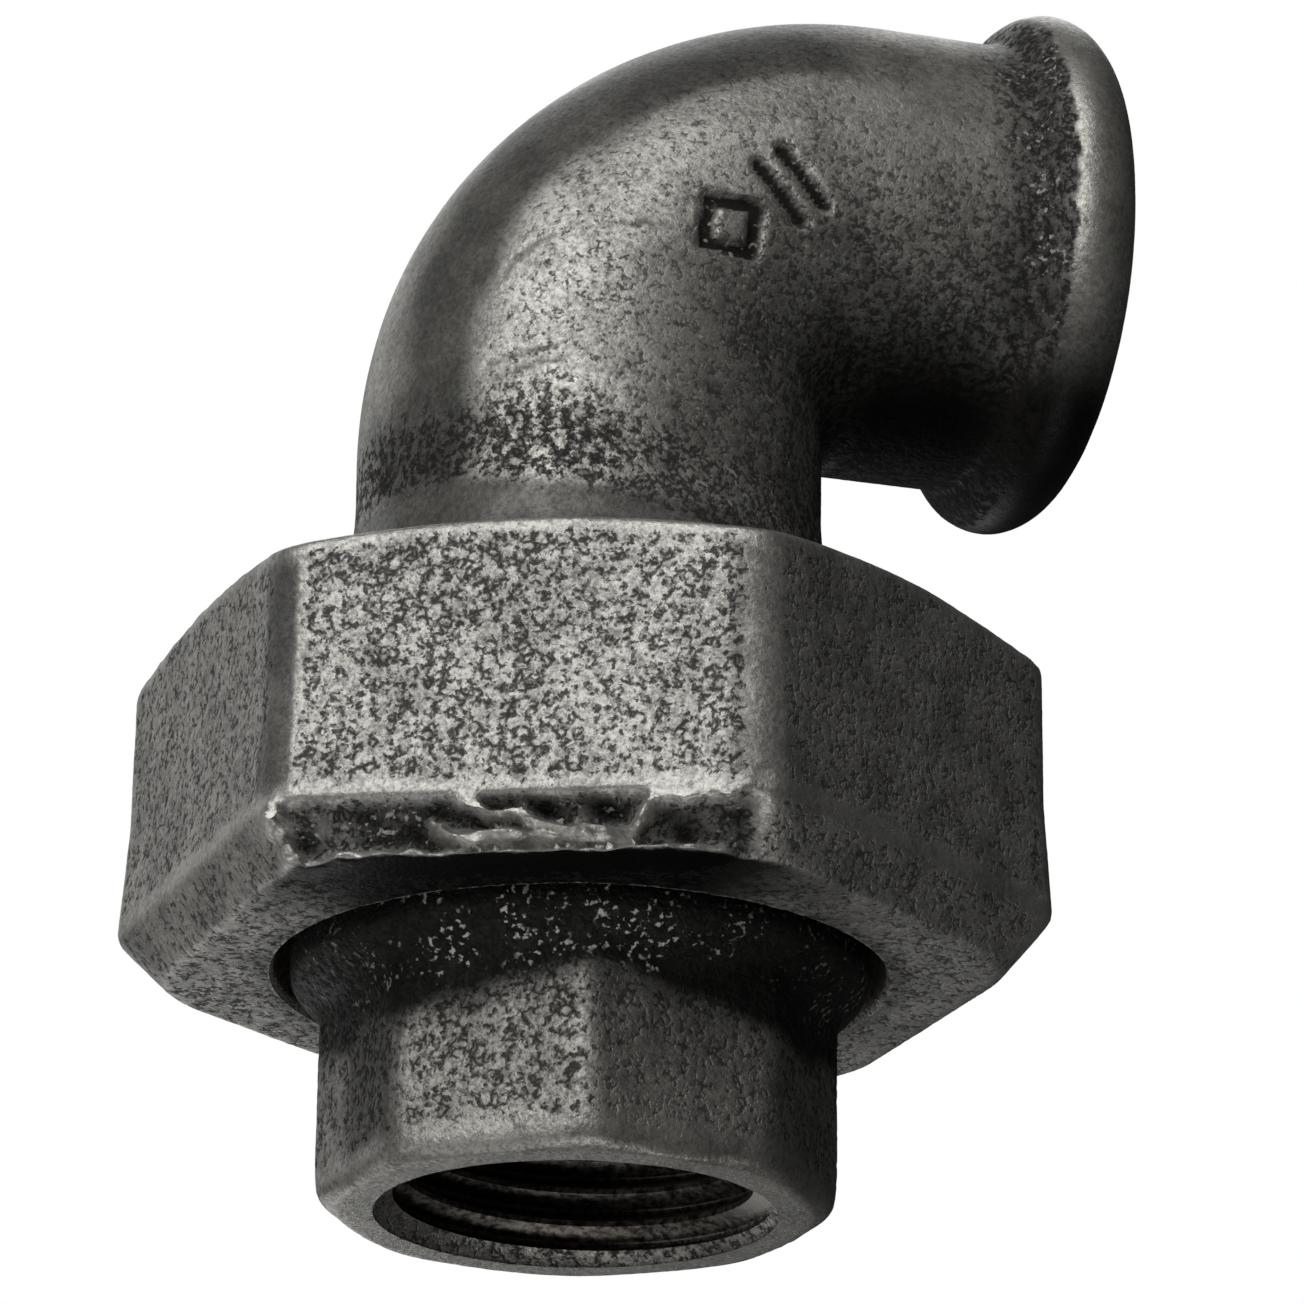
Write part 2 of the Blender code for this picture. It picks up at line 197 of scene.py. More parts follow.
def swept(name, outline, turns=1, pitch=0, start=0, steps=LATHE_STEPS):
    """A closed (radius, height) outline turned about Z, or swept along a right-handed coil."""
    bm = bmesh.new()
    corners = [bm.verts.new((radius, 0, height + start)) for radius, height in outline]
    ring = [bm.edges.new((corners[i - 1], corners[i])) for i in range(len(corners))]
    count = round(turns * steps)
    bmesh.ops.spin(
        bm,
        geom=corners + ring,
        axis=(0, 0, 1),
        cent=(0, 0, 0),
        dvec=(0, 0, pitch / steps),
        angle=turns * 2 * math.pi,
        steps=count,
    )
    bmesh.ops.remove_doubles(bm, verts=bm.verts, dist=0.0005)
    flat = [face for face in bm.faces if face.calc_area() < 1e-9]
    bmesh.ops.delete(bm, geom=flat, context="FACES")
    loose = [edge for edge in bm.edges if not edge.link_faces]
    bmesh.ops.delete(bm, geom=loose, context="EDGES")
    bmesh.ops.holes_fill(bm, edges=[edge for edge in bm.edges if edge.is_boundary])
    return mesh_object(name, bm)


def skinned(name, bm, rings):
    """Joins rings of vertices into a closed bar with flat ends."""
    for lower, upper in zip(rings, rings[1:]):
        for here in range(len(lower)):
            bm.faces.new((lower[here - 1], lower[here], upper[here], upper[here - 1]))
    bm.faces.new(rings[0])
    bm.faces.new(rings[-1])
    return mesh_object(name, bm)


def radial_solid(name, radius_at, levels, steps=720):
    """A solid whose radius is a function of direction and height, with flat ends."""
    directions = np.arange(steps) / steps * 2 * math.pi
    bm = bmesh.new()
    rings = []
    for height in levels:
        radii = radius_at(directions, height)
        places = zip(radii * np.cos(directions), radii * np.sin(directions))
        rings.append([bm.verts.new((x, y, height)) for x, y in places])
    return skinned(name, bm, rings)


def polygon_radius(direction, sides, apothem, corner_radius, first_corner):
    """How far out a regular polygon with round corners reaches in each direction."""
    half = math.pi / sides
    turn = np.abs((direction - first_corner) % (2 * half) - half)
    inset = (apothem - corner_radius) / math.cos(half)
    from_corner = half - turn
    on_arc = apothem * np.tan(turn) > (apothem - corner_radius) * math.tan(half)
    under = np.maximum(corner_radius**2 - (inset * np.sin(from_corner)) ** 2, 0)
    return np.where(on_arc, inset * np.cos(from_corner) + np.sqrt(under), apothem / np.cos(turn))


def table(points, value):
    """Reads a (height, value) table by straight lines."""
    return np.interp(value, [p[0] for p in points], [p[1] for p in points])


def elbow_tube(name, radius, start_height, end_reach):
    """A round bar along the elbow's centreline."""
    rings = [((0, start_height), 0, 1)]
    for step in range(BEND_STEPS + 1):
        turn = step / BEND_STEPS * math.pi / 2
        x = BEND_RADIUS * (1 - math.cos(turn))
        z = OUTLET_HEIGHT - BEND_RADIUS * (1 - math.sin(turn))
        rings.append(((x, z), turn, 1 - BEND_NARROWING * math.sin(2 * turn)))
    rings.append(((end_reach, OUTLET_HEIGHT), math.pi / 2, 1))
    bm = bmesh.new()
    loops = []
    for (x, z), turn, scale in rings:
        loop = []
        for step in range(TUBE_STEPS):
            around = step / TUBE_STEPS * 2 * math.pi
            across = radius * scale * math.cos(around)
            side = radius * scale * math.sin(around)
            loop.append(bm.verts.new((x - across * math.cos(turn), side, z + across * math.sin(turn))))
        loops.append(loop)
    return skinned(name, bm, loops)


def evaluated(made):
    """Applies an object's modifiers."""
    bpy.context.view_layer.update()
    graph = bpy.context.evaluated_depsgraph_get()
    mesh = bpy.data.meshes.new_from_object(made.evaluated_get(graph))
    made.modifiers.clear()
    old = made.data
    made.data = mesh
    bpy.data.meshes.remove(old)
    return made


def fused(name, shapes):
    """Overlapping closed shapes as one skin of small even quads."""
    bm = bmesh.new()
    for shape in shapes:
        shape.data.transform(shape.matrix_world)
        bm.from_mesh(shape.data)
        bpy.data.objects.remove(shape)
    made = mesh_object(name, bm)
    remesh = made.modifiers.new("Remesh", "REMESH")
    remesh.mode = "VOXEL"
    remesh.voxel_size = VOXEL
    return evaluated(made)


def coordinates(mesh):
    """The mesh's vertices as an array."""
    places = np.zeros(len(mesh.vertices) * 3, np.float32)
    mesh.vertices.foreach_get("co", places)
    return places.reshape(-1, 3).astype(float)


def normals(mesh):
    """The mesh's vertex normals as an array."""
    found = np.zeros(len(mesh.vertices) * 3, np.float32)
    mesh.vertex_normals.foreach_get("vector", found)
    return found.reshape(-1, 3).astype(float)


def set_coordinates(mesh, places):
    """Moves the mesh's vertices."""
    mesh.vertices.foreach_set("co", places.astype(np.float32).ravel())
    mesh.update()


def store(mesh, **layers):
    """Stores one number for each vertex, in each named layer."""
    for name, values in layers.items():
        layer = mesh.attributes.get(name) or mesh.attributes.new(name, "FLOAT", "POINT")
        layer.data.foreach_set("value", np.asarray(values, np.float32))


def stored(mesh, name):
    """Reads a layer's numbers."""
    values = np.zeros(len(mesh.vertices), np.float32)
    mesh.attributes[name].data.foreach_get("value", values)
    return values


def worn(made, passes):
    """Smooths the skin, and stores how far its ridges were worn down as "wear"."""
    sharp = coordinates(made.data)
    out = normals(made.data)
    smooth = made.modifiers.new("Smooth", "SMOOTH")
    smooth.factor = 0.5
    smooth.iterations = passes
    evaluated(made)
    rounded = coordinates(made.data)
    lost = ((sharp - rounded) * out).sum(1)
    store(made.data, wear=np.clip(lost / WEAR_REACH, 0, 1))
    return made


def cut(made, tool, operation="DIFFERENCE"):
    """Machines the casting with a closed tool, or adds the tool to it."""
    boolean = made.modifiers.new(tool.name, "BOOLEAN")
    boolean.object = tool
    boolean.operation = operation
    boolean.solver = "MANIFOLD"
    evaluated(made)
    bpy.data.objects.remove(tool)
    return made


# ---- node tools ----


class Graph:
    """Adds nodes to a shader tree or a geometry tree. A value is a number, a tuple or a socket."""

    def __init__(self, tree):
        self.tree = tree

    def add(self, kind, output=0, inputs=(), **settings):
        node = self.tree.nodes.new(kind)
        for key, value in settings.items():
            setattr(node, key, value)
        for key, value in inputs:
            if isinstance(value, bpy.types.NodeSocket):
                self.tree.links.new(value, node.inputs[key])
            else:
                node.inputs[key].default_value = value
        return node.outputs[output]

    def math(self, operation, *values):
        return self.add("ShaderNodeMath", inputs=enumerate(values), operation=operation)

    def times(self, first, *others):
        for other in others:
            first = self.math("MULTIPLY", first, other)
        return first

    def plus(self, first, *others):
        for other in others:
            first = self.math("ADD", first, other)
        return first

    def minus(self, first, second):
        return self.math("SUBTRACT", first, second)

    def vector(self, operation, first, second):
        key = "Scale" if operation == "SCALE" else 1
        inputs = ((0, first), (key, second))
        return self.add("ShaderNodeVectorMath", inputs=inputs, operation=operation)

    def noise(self, place, scale, detail=2, roughness=0.5, output="Fac"):
        inputs = (("Vector", place), ("Scale", scale), ("Detail", detail), ("Roughness", roughness))
        return self.add("ShaderNodeTexNoise", output, inputs)

    def cells(self, place, scale, feature="DISTANCE_TO_EDGE", output="Distance"):
        inputs = (("Vector", place), ("Scale", scale))
        return self.add("ShaderNodeTexVoronoi", output, inputs, feature=feature)

    def rise(self, value, low, high, start=0.0, end=1.0):
        inputs = (("Value", value), ("From Min", low), ("From Max", high), ("To Min", start), ("To Max", end))
        return self.add("ShaderNodeMapRange", "Result", inputs, interpolation_type="SMOOTHSTEP")

    def blend(self, share, first, second):
        inputs = ((0, share), (6, first), (7, second))
        return self.add("ShaderNodeMix", 2, inputs, data_type="RGBA")

    def number(self, name):
        return self.add("ShaderNodeAttribute", "Fac", attribute_name=name)

    def bump(self, height):
        """Bumps with a height in millimetres."""
        inputs = (("Height", height), ("Distance", MM), ("Strength", 1.0))
        return self.add("ShaderNodeBump", inputs=inputs)


class Look(NamedTuple):
    """How rough and how dirty a casting is. Lengths are in millimetres."""

    grain: float  # size of a grain
    creviced: float  # noise above which crevices are open, so less is more crevices
    width: float  # width of a crevice
    pit: float  # depth of a crevice
    dome: float  # height of a grain
    sway: float  # height of the broad waves
    fine: float  # height of the grit
    contrast: float  # how dark the specks are, from 0 to 1
    shine: float  # roughness of the metal, from 0 to 1
    dirt: float  # how dark a crevice is, from 0 to 1
    metal: tuple  # colour of the bare metal


NUT_LOOK = Look(
    grain=0.46, creviced=0.510, width=0.18, pit=0.04, dome=0.014,
    sway=0.16, fine=0.016, contrast=0.40, shine=0.50, dirt=0.84,
    metal=(0.338, 0.331, 0.307, 1.0),
)
ELBOW_LOOK = Look(
    grain=0.42, creviced=0.575, width=0.16, pit=0.013, dome=0.005,
    sway=0.12, fine=0.010, contrast=0.40, shine=0.43, dirt=0.68,
    metal=(0.325, 0.318, 0.291, 1.0),
)
TAIL_LOOK = Look(
    grain=0.46, creviced=0.515, width=0.18, pit=0.035, dome=0.012,
    sway=0.14, fine=0.014, contrast=0.50, shine=0.48, dirt=0.84,
    metal=(0.265, 0.258, 0.236, 1.0),
)

# Noises of the skin: (lumps to a millimetre, detail, roughness).
ZONES = (0.12, 2)
SWAY = (0.16, 3, 0.55)
CLOUD = (0.30, 4, 0.62)
RUST_SPOTS = (0.33, 3, 0.65)
SPECKLE = (3.6, 4, 0.72)
CUT_GRIT = (7.0, 3, 0.6)
RUBBER_GRIT = (9.0, 3, 0.6)
DUST = (11.0, 2, 0.6)
BLOOM = (0.9, 4, 0.6)
STAIN = (2.2, 4, 0.7)
# Painted glints: light specks standing in for highlights on rounded grains, and the groups they lie in.
GLINT_SPECKS = (2.8, 2, 0.5)
GLINT_GROUPS = (0.45, 2)

# The crevices between the grains. Lengths are in grains or in crevice widths.
GRAIN_DRIFT = 0.9
DRIFT_LUMPS = 1.1
PATCH_LUMPS = 0.80
ZONE_SHIFT = 0.12
WORN_SHUT = 0.30
PATCH_RISE = (-0.05, 0.06)
CREVICE_FLOOR = 0.2
CREVICE_REACH = 1.7
COARSE_REACH = -0.9
DOME_REACH = 0.45

# How each noise tints the metal: (noise from, to, tint from, to).
DUST_TINT = (0.30, 0.70, 0.80, 1.12)
CLOUD_TINT = (0.32, 0.68, 0.70, 1.16)
GRAIN_TINT = (0.20, 0.80, 0.84, 1.12)
SPECKLE_RISE = (0.36, 0.58)
RUST_RISE = (0.60, 0.72)
# Where the painted glints lie.
GLINT_SPECK_RISE = (0.57, 0.68)
GLINT_GROUP_RISE = (0.46, 0.56)
WEAR_TINT = 0.22
RUST_SHARE = 0.16
# Less rust where shade is painted in.
SHADED_RUST_LOSS = 0.14
COARSE_DIRT = -0.6
GLINT_SHARE = 0.8
STAIN_RISE = (0.35, 0.68)
BLOOM_RISE = (0.45, 0.75)

# How each noise changes the roughness: (noise from, to, roughness from, to).
STAIN_GLOSS = (0.3, 0.7, 0.34, 0.56)
RUBBER_GLOSS = (0.3, 0.7, 0.58, 0.78)
CUT_GRIT_HEIGHT = 0.012
RUBBER_GRIT_HEIGHT = 0.02

# How gloss, metal and sheen change from a bare grain to a sooty hollow. Metal and sheen drop the same way
# where shade is painted in.
SPECKLE_GLOSS = (0.12, -0.04)
HOLLOW_GLOSS = 0.35
WEAR_GLOSS = -0.08
BARE_METAL = 0.80
DULL_METAL = 0.04
BARE_SHEEN = 0.5
DULL_SHEEN = 0.08

BLACK = (0.0, 0.0, 0.0, 1.0)
SOOT = (0.010, 0.009, 0.008, 1.0)
RUST = (0.11, 0.066, 0.038, 1.0)
GLINT = (0.52, 0.51, 0.47, 1.0)
CUT_METAL = (0.20, 0.185, 0.165, 1.0)
OLD_OIL = (0.035, 0.028, 0.022, 1.0)
RUBBER = (0.016, 0.016, 0.017, 1.0)
CHALK = (0.045, 0.044, 0.042, 1.0)


def cast_pattern(graph, place, wear, look):
    """(crevice, dome): the sand-cast grain at a place in millimetres, each from 0 to 1.

    Wear shuts the crevices, and wear below 0 widens them.
    """
    drift = graph.noise(place, DRIFT_LUMPS / look.grain, 2, output="Color")
    drift = graph.vector("SUBTRACT", drift, (0.5, 0.5, 0.5))
    warped = graph.vector("ADD", place, graph.vector("SCALE", drift, GRAIN_DRIFT * look.grain))
    edge = graph.cells(warped, 1 / look.grain)
    patches = graph.noise(place, PATCH_LUMPS / look.grain, 3, 0.65)
    zones = graph.noise(place, *ZONES)
    zone_shift = graph.times(graph.minus(0.5, zones), ZONE_SHIFT)
    limit = graph.plus(look.creviced, zone_shift, graph.times(wear, WORN_SHUT))
    open_edge = graph.rise(graph.minus(patches, limit), *PATCH_RISE)
    coarse = graph.times(graph.math("MINIMUM", wear, 0.0), COARSE_REACH)
    reach = graph.plus(coarse, look.width * CREVICE_REACH)
    line = graph.rise(edge, look.width * CREVICE_FLOOR, reach, 1.0, 0.0)
    return graph.times(line, open_edge), graph.rise(edge, 0.0, DOME_REACH)


def roughened(made, look):
    """Moves the skin along its normals by the cast grain, never outwards."""
    tree = bpy.data.node_groups.new("grain", "GeometryNodeTree")
    tree.interface.new_socket("Geometry", in_out="INPUT", socket_type="NodeSocketGeometry")
    tree.interface.new_socket("Geometry", in_out="OUTPUT", socket_type="NodeSocketGeometry")
    graph = Graph(tree)
    skin = graph.add("NodeGroupInput")
    place = graph.add("GeometryNodeInputPosition")
    out = graph.add("GeometryNodeInputNormal")
    wear = graph.add("GeometryNodeInputNamedAttribute", "Attribute", (("Name", "wear"),), data_type="FLOAT")
    crevice, dome = cast_pattern(graph, place, wear, look)
    sway = graph.noise(place, *SWAY)
    depth = graph.plus(
        graph.times(crevice, look.pit),
        graph.times(graph.minus(1.0, dome), look.dome),
        graph.times(graph.minus(1.0, sway), look.sway),
    )
    offset = graph.vector("SCALE", out, graph.times(depth, -1.0))
    moved = graph.add("GeometryNodeSetPosition", inputs=(("Geometry", skin), ("Offset", offset)))
    exit_node = tree.nodes.new("NodeGroupOutput")
    tree.links.new(moved, exit_node.inputs[0])
    grain = made.modifiers.new("Grain", "NODES")
    grain.node_group = tree
    evaluated(made)
    return made


# ---- materials ----


def new_material(name):
    """(material, graph, shader, place): a material and its place in millimetres."""
    material = bpy.data.materials.new(name)
    material.use_nodes = True
    tree = material.node_tree
    graph = Graph(tree)
    place = graph.vector("SCALE", graph.add("ShaderNodeTexCoord", "Object"), 1 / MM)
    return material, graph, tree.nodes["Principled BSDF"], place


def feed(graph, shader, **sockets):
    """Links or sets the shader's sockets. An underscore stands for a space."""
    for key, value in sockets.items():
        socket = shader.inputs[key.replace("_", " ")]
        if isinstance(value, bpy.types.NodeSocket):
            graph.tree.links.new(value, socket)
        else:
            socket.default_value = value


def cast_iron(name, look):
    """Black iron: worn grey grains, dark crevices, soot in the hollows and a trace of rust, darkened further
    by painted shade and brightened by painted glints.
    """
    material, graph, shader, place = new_material(name)
    wear = graph.number("wear")
    soot = graph.number("soot")
    crevice, dome = cast_pattern(graph, place, wear, look)
    speckle = graph.noise(place, *SPECKLE)
    dust = graph.noise(place, *DUST)
    cloud = graph.noise(place, *CLOUD)
    each_grain = graph.cells(place, 1.3 / look.grain, "F1", "Color")
    tone = graph.times(
        graph.rise(speckle, *SPECKLE_RISE, 1 - look.contrast, 1.0),
        graph.rise(dust, *DUST_TINT),
        graph.rise(cloud, *CLOUD_TINT),
        graph.rise(each_grain, *GRAIN_TINT),
    )
    tone = graph.plus(tone, graph.times(wear, WEAR_TINT))
    # Painted shade, with real soot in places: the darkening layer darkens the tone.
    tone = graph.times(tone, graph.minus(1.0, soot))
    colour = graph.blend(tone, BLACK, look.metal)
    rusted = graph.rise(graph.noise(place, *RUST_SPOTS), *RUST_RISE)
    rusted = graph.times(rusted, graph.minus(RUST_SHARE, graph.times(soot, SHADED_RUST_LOSS)))
    colour = graph.blend(rusted, colour, RUST)
    dirt = graph.plus(graph.times(graph.math("MINIMUM", wear, 0.0), COARSE_DIRT), look.dirt)
    hollow = graph.math("MAXIMUM", graph.times(crevice, dirt), graph.number("groove"))
    colour = graph.blend(hollow, colour, SOOT)
    # Painted glints: light specks blended over the colour in place of highlights on grains.
    glint_specks = graph.rise(graph.noise(place, *GLINT_SPECKS), *GLINT_SPECK_RISE)
    groups = graph.rise(graph.noise(place, *GLINT_GROUPS), *GLINT_GROUP_RISE)
    glint = graph.times(glint_specks, groups, graph.number("crumbly"), GLINT_SHARE)
    colour = graph.blend(glint, colour, GLINT)
    gloss = graph.plus(
        graph.rise(speckle, 0.3, 0.7, *(look.shine + change for change in SPECKLE_GLOSS)),
        graph.times(hollow, HOLLOW_GLOSS),
        graph.times(wear, WEAR_GLOSS),
    )
    height = graph.plus(
        graph.times(crevice, -look.pit),
        graph.times(dome, look.dome),
        graph.times(speckle, look.fine * 2),
        graph.times(dust, look.fine),
    )
    dull = graph.math("MAXIMUM", hollow, soot)
    feed(
        graph,
        shader,
        Base_Color=colour,
        Roughness=gloss,
        Metallic=graph.minus(BARE_METAL, graph.times(dull, BARE_METAL - DULL_METAL)),
        Specular_IOR_Level=graph.rise(dull, 0.0, 1.0, BARE_SHEEN, DULL_SHEEN),
        Normal=graph.bump(height),
    )
    return material


def machined_iron(name):
    """Cut iron under old thread oil: brown-black, with patches of lighter cut metal and a fine grit."""
    material, graph, shader, place = new_material(name)
    stain = graph.noise(place, *STAIN)
    colour = graph.blend(graph.rise(stain, *STAIN_RISE), OLD_OIL, CUT_METAL)
    gloss = graph.rise(stain, *STAIN_GLOSS)
    bump = graph.bump(graph.times(graph.noise(place, *CUT_GRIT), CUT_GRIT_HEIGHT))
    feed(graph, shader, Base_Color=colour, Roughness=gloss, Metallic=0.85, Normal=bump)
    return material


def seal_rubber(name):
    """Black sheet rubber with a fine matt grain and a little chalky bloom."""
    material, graph, shader, place = new_material(name)
    grit = graph.noise(place, *RUBBER_GRIT)
    colour = graph.blend(graph.rise(graph.noise(place, *BLOOM), *BLOOM_RISE), RUBBER, CHALK)
    gloss = graph.rise(grit, *RUBBER_GLOSS)
    bump = graph.bump(graph.times(grit, RUBBER_GRIT_HEIGHT))
    feed(graph, shader, Base_Color=colour, Roughness=gloss, Normal=bump)
    return material


# ---- machining ----


def thread_section(thread, inner, outer, play=0):
    """A thread ridge or groove between two radii, wide at the inner one, its crest rounded."""
    minor, major, pitch, rounding = thread
    middle = (minor + major) / 2

    def half_width(radius):
        return pitch / 4 - (radius - middle) * math.tan(THREAD_HALF_ANGLE) + play

    return filleted(
        (outer, half_width(outer), rounding),
        (outer, -half_width(outer), rounding),
        (inner, -half_width(inner), 0),
        (inner, half_width(inner), 0),
    )


def cut_pipe_socket(made, placed):
    """Cuts a female half-inch thread. placed moves tools made about Z, mouth at 0, going up."""
    bore = filleted(
        (0, SOCKET_DEPTH, 0),
        (PIPE_MINOR_RADIUS, SOCKET_DEPTH, SOCKET_ROUNDING),
        (PIPE_MINOR_RADIUS, PIPE_MOUTH_DEPTH, 0),
        (PIPE_MOUTH_RADIUS, PIPE_MOUTH_LIP, 0),
        (PIPE_MOUTH_RADIUS + PIPE_MOUTH_FLARE, -PAST, 0),
        (0, -PAST, 0),
    )
    section = thread_section(PIPE_THREAD, PIPE_MINOR_RADIUS - THREAD_OVERLAP, PIPE_MAJOR_RADIUS)
    drill = swept("drill", bore)
    drill.matrix_world = placed @ Matrix.Rotation(math.pi / LATHE_STEPS, 4, "Z")
    cut(made, drill)
    tap = swept("tap", section, PIPE_TURNS, PIPE_PITCH, -PIPE_RUN_IN, THREAD_STEPS)
    tap.matrix_world = placed
    cut(made, tap)


# ---- the castings ----


def line_distance(places, line):
    """How far each 2D place is from a line of points, and how far along it the nearest point is."""
    best = np.full(len(places), np.inf)
    along = np.zeros(len(places))
    count = len(line) - 1
    for here in range(count):
        start = np.array(line[here])
        span = np.array(line[here + 1]) - start
        share = np.clip(((places - start) @ span) / (span @ span), 0, 1)
        gap = np.linalg.norm(places - start - share[:, None] * span, axis=1)
        closer = gap < best
        best = np.where(closer, gap, best)
        along = np.where(closer, (here + share) / count, along)
    return best, along


def wobble(places, size, seed):
    """Smooth noise from -1 to 1 at each place, with lumps of that size."""
    shift = Vector((seed * 17.3, seed * 5.1, seed * 9.7))
    return np.array([noise.noise(Vector(place) / size + shift) for place in places])


# The casting flash on the nut's front bevel: lines of (across, height), with height and width.
FLASH_DIRECTION = NUT_CORNER_ANGLE - math.radians(150)
FLASH_OUTWARD = np.array((math.cos(FLASH_DIRECTION), math.sin(FLASH_DIRECTION), 0))
FLASH_LIMIT = 22.15
FLASH_SUNK = 0.80
FLASH_REACH = (17.5, 19.5)
FLASH_FLOOR = 16.0
FLASH_CEILING = 17.0
FLASH_WANDER = 0.26
FLASH_WEAR_AND_HIGHLIGHT = 1.2
HOLLOW_FLOOR = (12.6, 13.6)
HOLLOW_CEILING = (16.0, 15.2)
HOLLOW_SIDES = (12.8, 10.8)
FLASH = (
    (((-12.9, 15.3), (-12.2, 14.7)), 1.30, 0.62),
    (((-12.2, 14.0), (-11.9, 13.2), (-11.2, 12.9)), 1.20, 0.60),
    (((-11.2, 13.0), (-7.0, 13.1), (-3.0, 13.0), (0.5, 12.95), (5.0, 12.95), (10.0, 13.1)), 1.20, 0.46),
    (
        ((-4.4, 14.5), (-3.8, 14.0), (-2.5, 13.8), (-0.8, 13.9), (0.5, 13.8), (3.5, 13.7), (5.4, 13.8)),
        1.45,
        0.48,
    ),
    (((-3.0, 15.5), (-1.5, 15.0), (0.3, 14.8), (0.9, 14.3), (3.5, 14.1), (5.5, 14.1)), 1.35, 0.36),
    (((5.5, 14.0), (6.1, 14.7), (7.0, 15.4), (8.9, 15.7), (11.0, 15.6)), 1.15, 0.40),
)


def add_flash(made):
    """Raises the flash on the nut's hollowed front bevel, and returns painted shadow in the hollows between
    its lines.
    """
    places = coordinates(made.data)
    sideways = np.array((-FLASH_OUTWARD[1], FLASH_OUTWARD[0], 0))
    near = (places @ FLASH_OUTWARD > FLASH_FLOOR) & (places[:, 2] < FLASH_CEILING)
    chosen = places[near]
    flat = np.stack((chosen @ sideways, chosen[:, 2]), axis=1)
    hollow = smooth_step(*HOLLOW_FLOOR, flat[:, 1]) * smooth_step(*HOLLOW_CEILING, flat[:, 1])
    hollow *= smooth_step(*HOLLOW_SIDES, np.abs(flat[:, 0]))
    hollow *= 1 + 0.5 * wobble(chosen, size=2.0, seed=5)
    drift = (wobble(chosen, size=1.1, seed=1), wobble(chosen, size=1.1, seed=2))
    flat = flat + FLASH_WANDER * np.stack(drift, axis=1)
    lumps = 1 + 0.35 * wobble(chosen, size=0.9, seed=3)
    rise = np.zeros(len(chosen))
    for line, height, width in FLASH:
        gap, along = line_distance(flat, line)
        ends = smooth_step(0, 0.10, along) * smooth_step(0, 0.10, 1 - along) * 0.5 + 0.5
        rise = np.maximum(rise, height * ends * np.exp(-((gap / width) ** 3)))
    rise *= smooth_step(*FLASH_REACH, chosen @ FLASH_OUTWARD)
    moved = rise * lumps - FLASH_SUNK * hollow
    room = np.maximum(FLASH_LIMIT - chosen @ FLASH_OUTWARD, 0)
    places[near] += np.minimum(moved, room)[:, None] * FLASH_OUTWARD
    places[near, 1] = np.maximum(places[near, 1], NUT_LOW.y + 0.03)
    wear = stored(made.data, "wear")
    # The flash's ridges are worn lighter, which also paints a highlight on them; the hollows between them
    # lose wear and turn coarse.
    wear[near] = np.clip(np.maximum(wear[near], FLASH_WEAR_AND_HIGHLIGHT * rise) - 0.5 * hollow * (rise < 0.3), 0, 1)
    # Painted shadow in the hollows between the flash lines, with painted glints where it is darkest.
    soot = np.zeros(len(places))
    soot[near] = np.clip(hollow * (0.88 - 1.5 * rise), 0, 1)
    set_coordinates(made.data, places)
    store(made.data, wear=wear, crumbly=0.7 * smooth_step(0.5, 0.8, soot))
    return soot


# Painted shade along each rounded corner of the hexagon, how dark it is counted round from the first corner,
# and how far the shade reaches from a corner: far before it, and little after it.
CORNER_SHADE = (0.35, 0.45, 0.30, 0.71, 0.40, 0.40)
SHADE_BEFORE_CORNER = (2.3, 1.4)
SHADE_AFTER_CORNER = (0.95, 0.65)

# The worn borders of the nut's sides: half a side's width, the cone over them, and the heights
# at which the bevel's border and the upright sides start.
NUT_HALF_SIDE = 12.45
NUT_TOP_RADIUS = 20.1
NUT_CONE_SLOPE = 0.33
BORDER_WEAR = 0.62
SIDE_BORDER = (1.5, 0.7)
TOP_BORDER = (0.9, 0.4)
BEVEL_BORDER = ((16.9, 16.4), (15.2, 15.8))
UPRIGHT = (15.9, 17.0)


def nut_borders(made):
    """Wears the nut's faces smooth along their borders, and returns the painted shade on its corners."""
    places = coordinates(made.data)
    wear = stored(made.data, "wear")
    turn = (np.arctan2(places[:, 1], places[:, 0]) - NUT_CORNER_ANGLE) % (2 * math.pi)
    sixth = math.pi / 3
    corner = np.round(turn / sixth).astype(int) % 6
    past_corner = (turn + sixth / 2) % sixth - sixth / 2
    radius = np.hypot(places[:, 0], places[:, 1])
    height = places[:, 2]
    from_corner = NUT_HALF_SIDE - radius * np.sin(sixth / 2 - np.abs(past_corner))
    from_top = NUT_TOP - (radius - NUT_TOP_RADIUS) * NUT_CONE_SLOPE - height
    ragged = 0.35 * wobble(places, size=1.2, seed=9)
    sides = smooth_step(*SIDE_BORDER, from_corner + ragged)
    above = smooth_step(*TOP_BORDER, from_top + ragged)
    below = smooth_step(*BEVEL_BORDER[0], height + ragged) * smooth_step(*BEVEL_BORDER[1], height)
    border = np.max((sides, above, below), axis=0)
    store(made.data, wear=np.maximum(wear, BORDER_WEAR * border))
    upright = smooth_step(*UPRIGHT, height) * smooth_step(0.4, 1.4, from_top)
    before = smooth_step(*SHADE_BEFORE_CORNER, from_corner)
    after = smooth_step(*SHADE_AFTER_CORNER, from_corner)
    return np.array(CORNER_SHADE)[corner] * np.where(past_corner < 0, before, after) * upright


# Painted shade on the nut's foot: how thin it lies, and how far it reaches from the front and the hole.
FOOT_SHADE_DEPTH = (0.22, 0.08)
FRONT_SHADE = (0.55, 0.90)
RIM_SHADE_REACH = (2.2, 0.3)
RIM_SHADE = 0.6


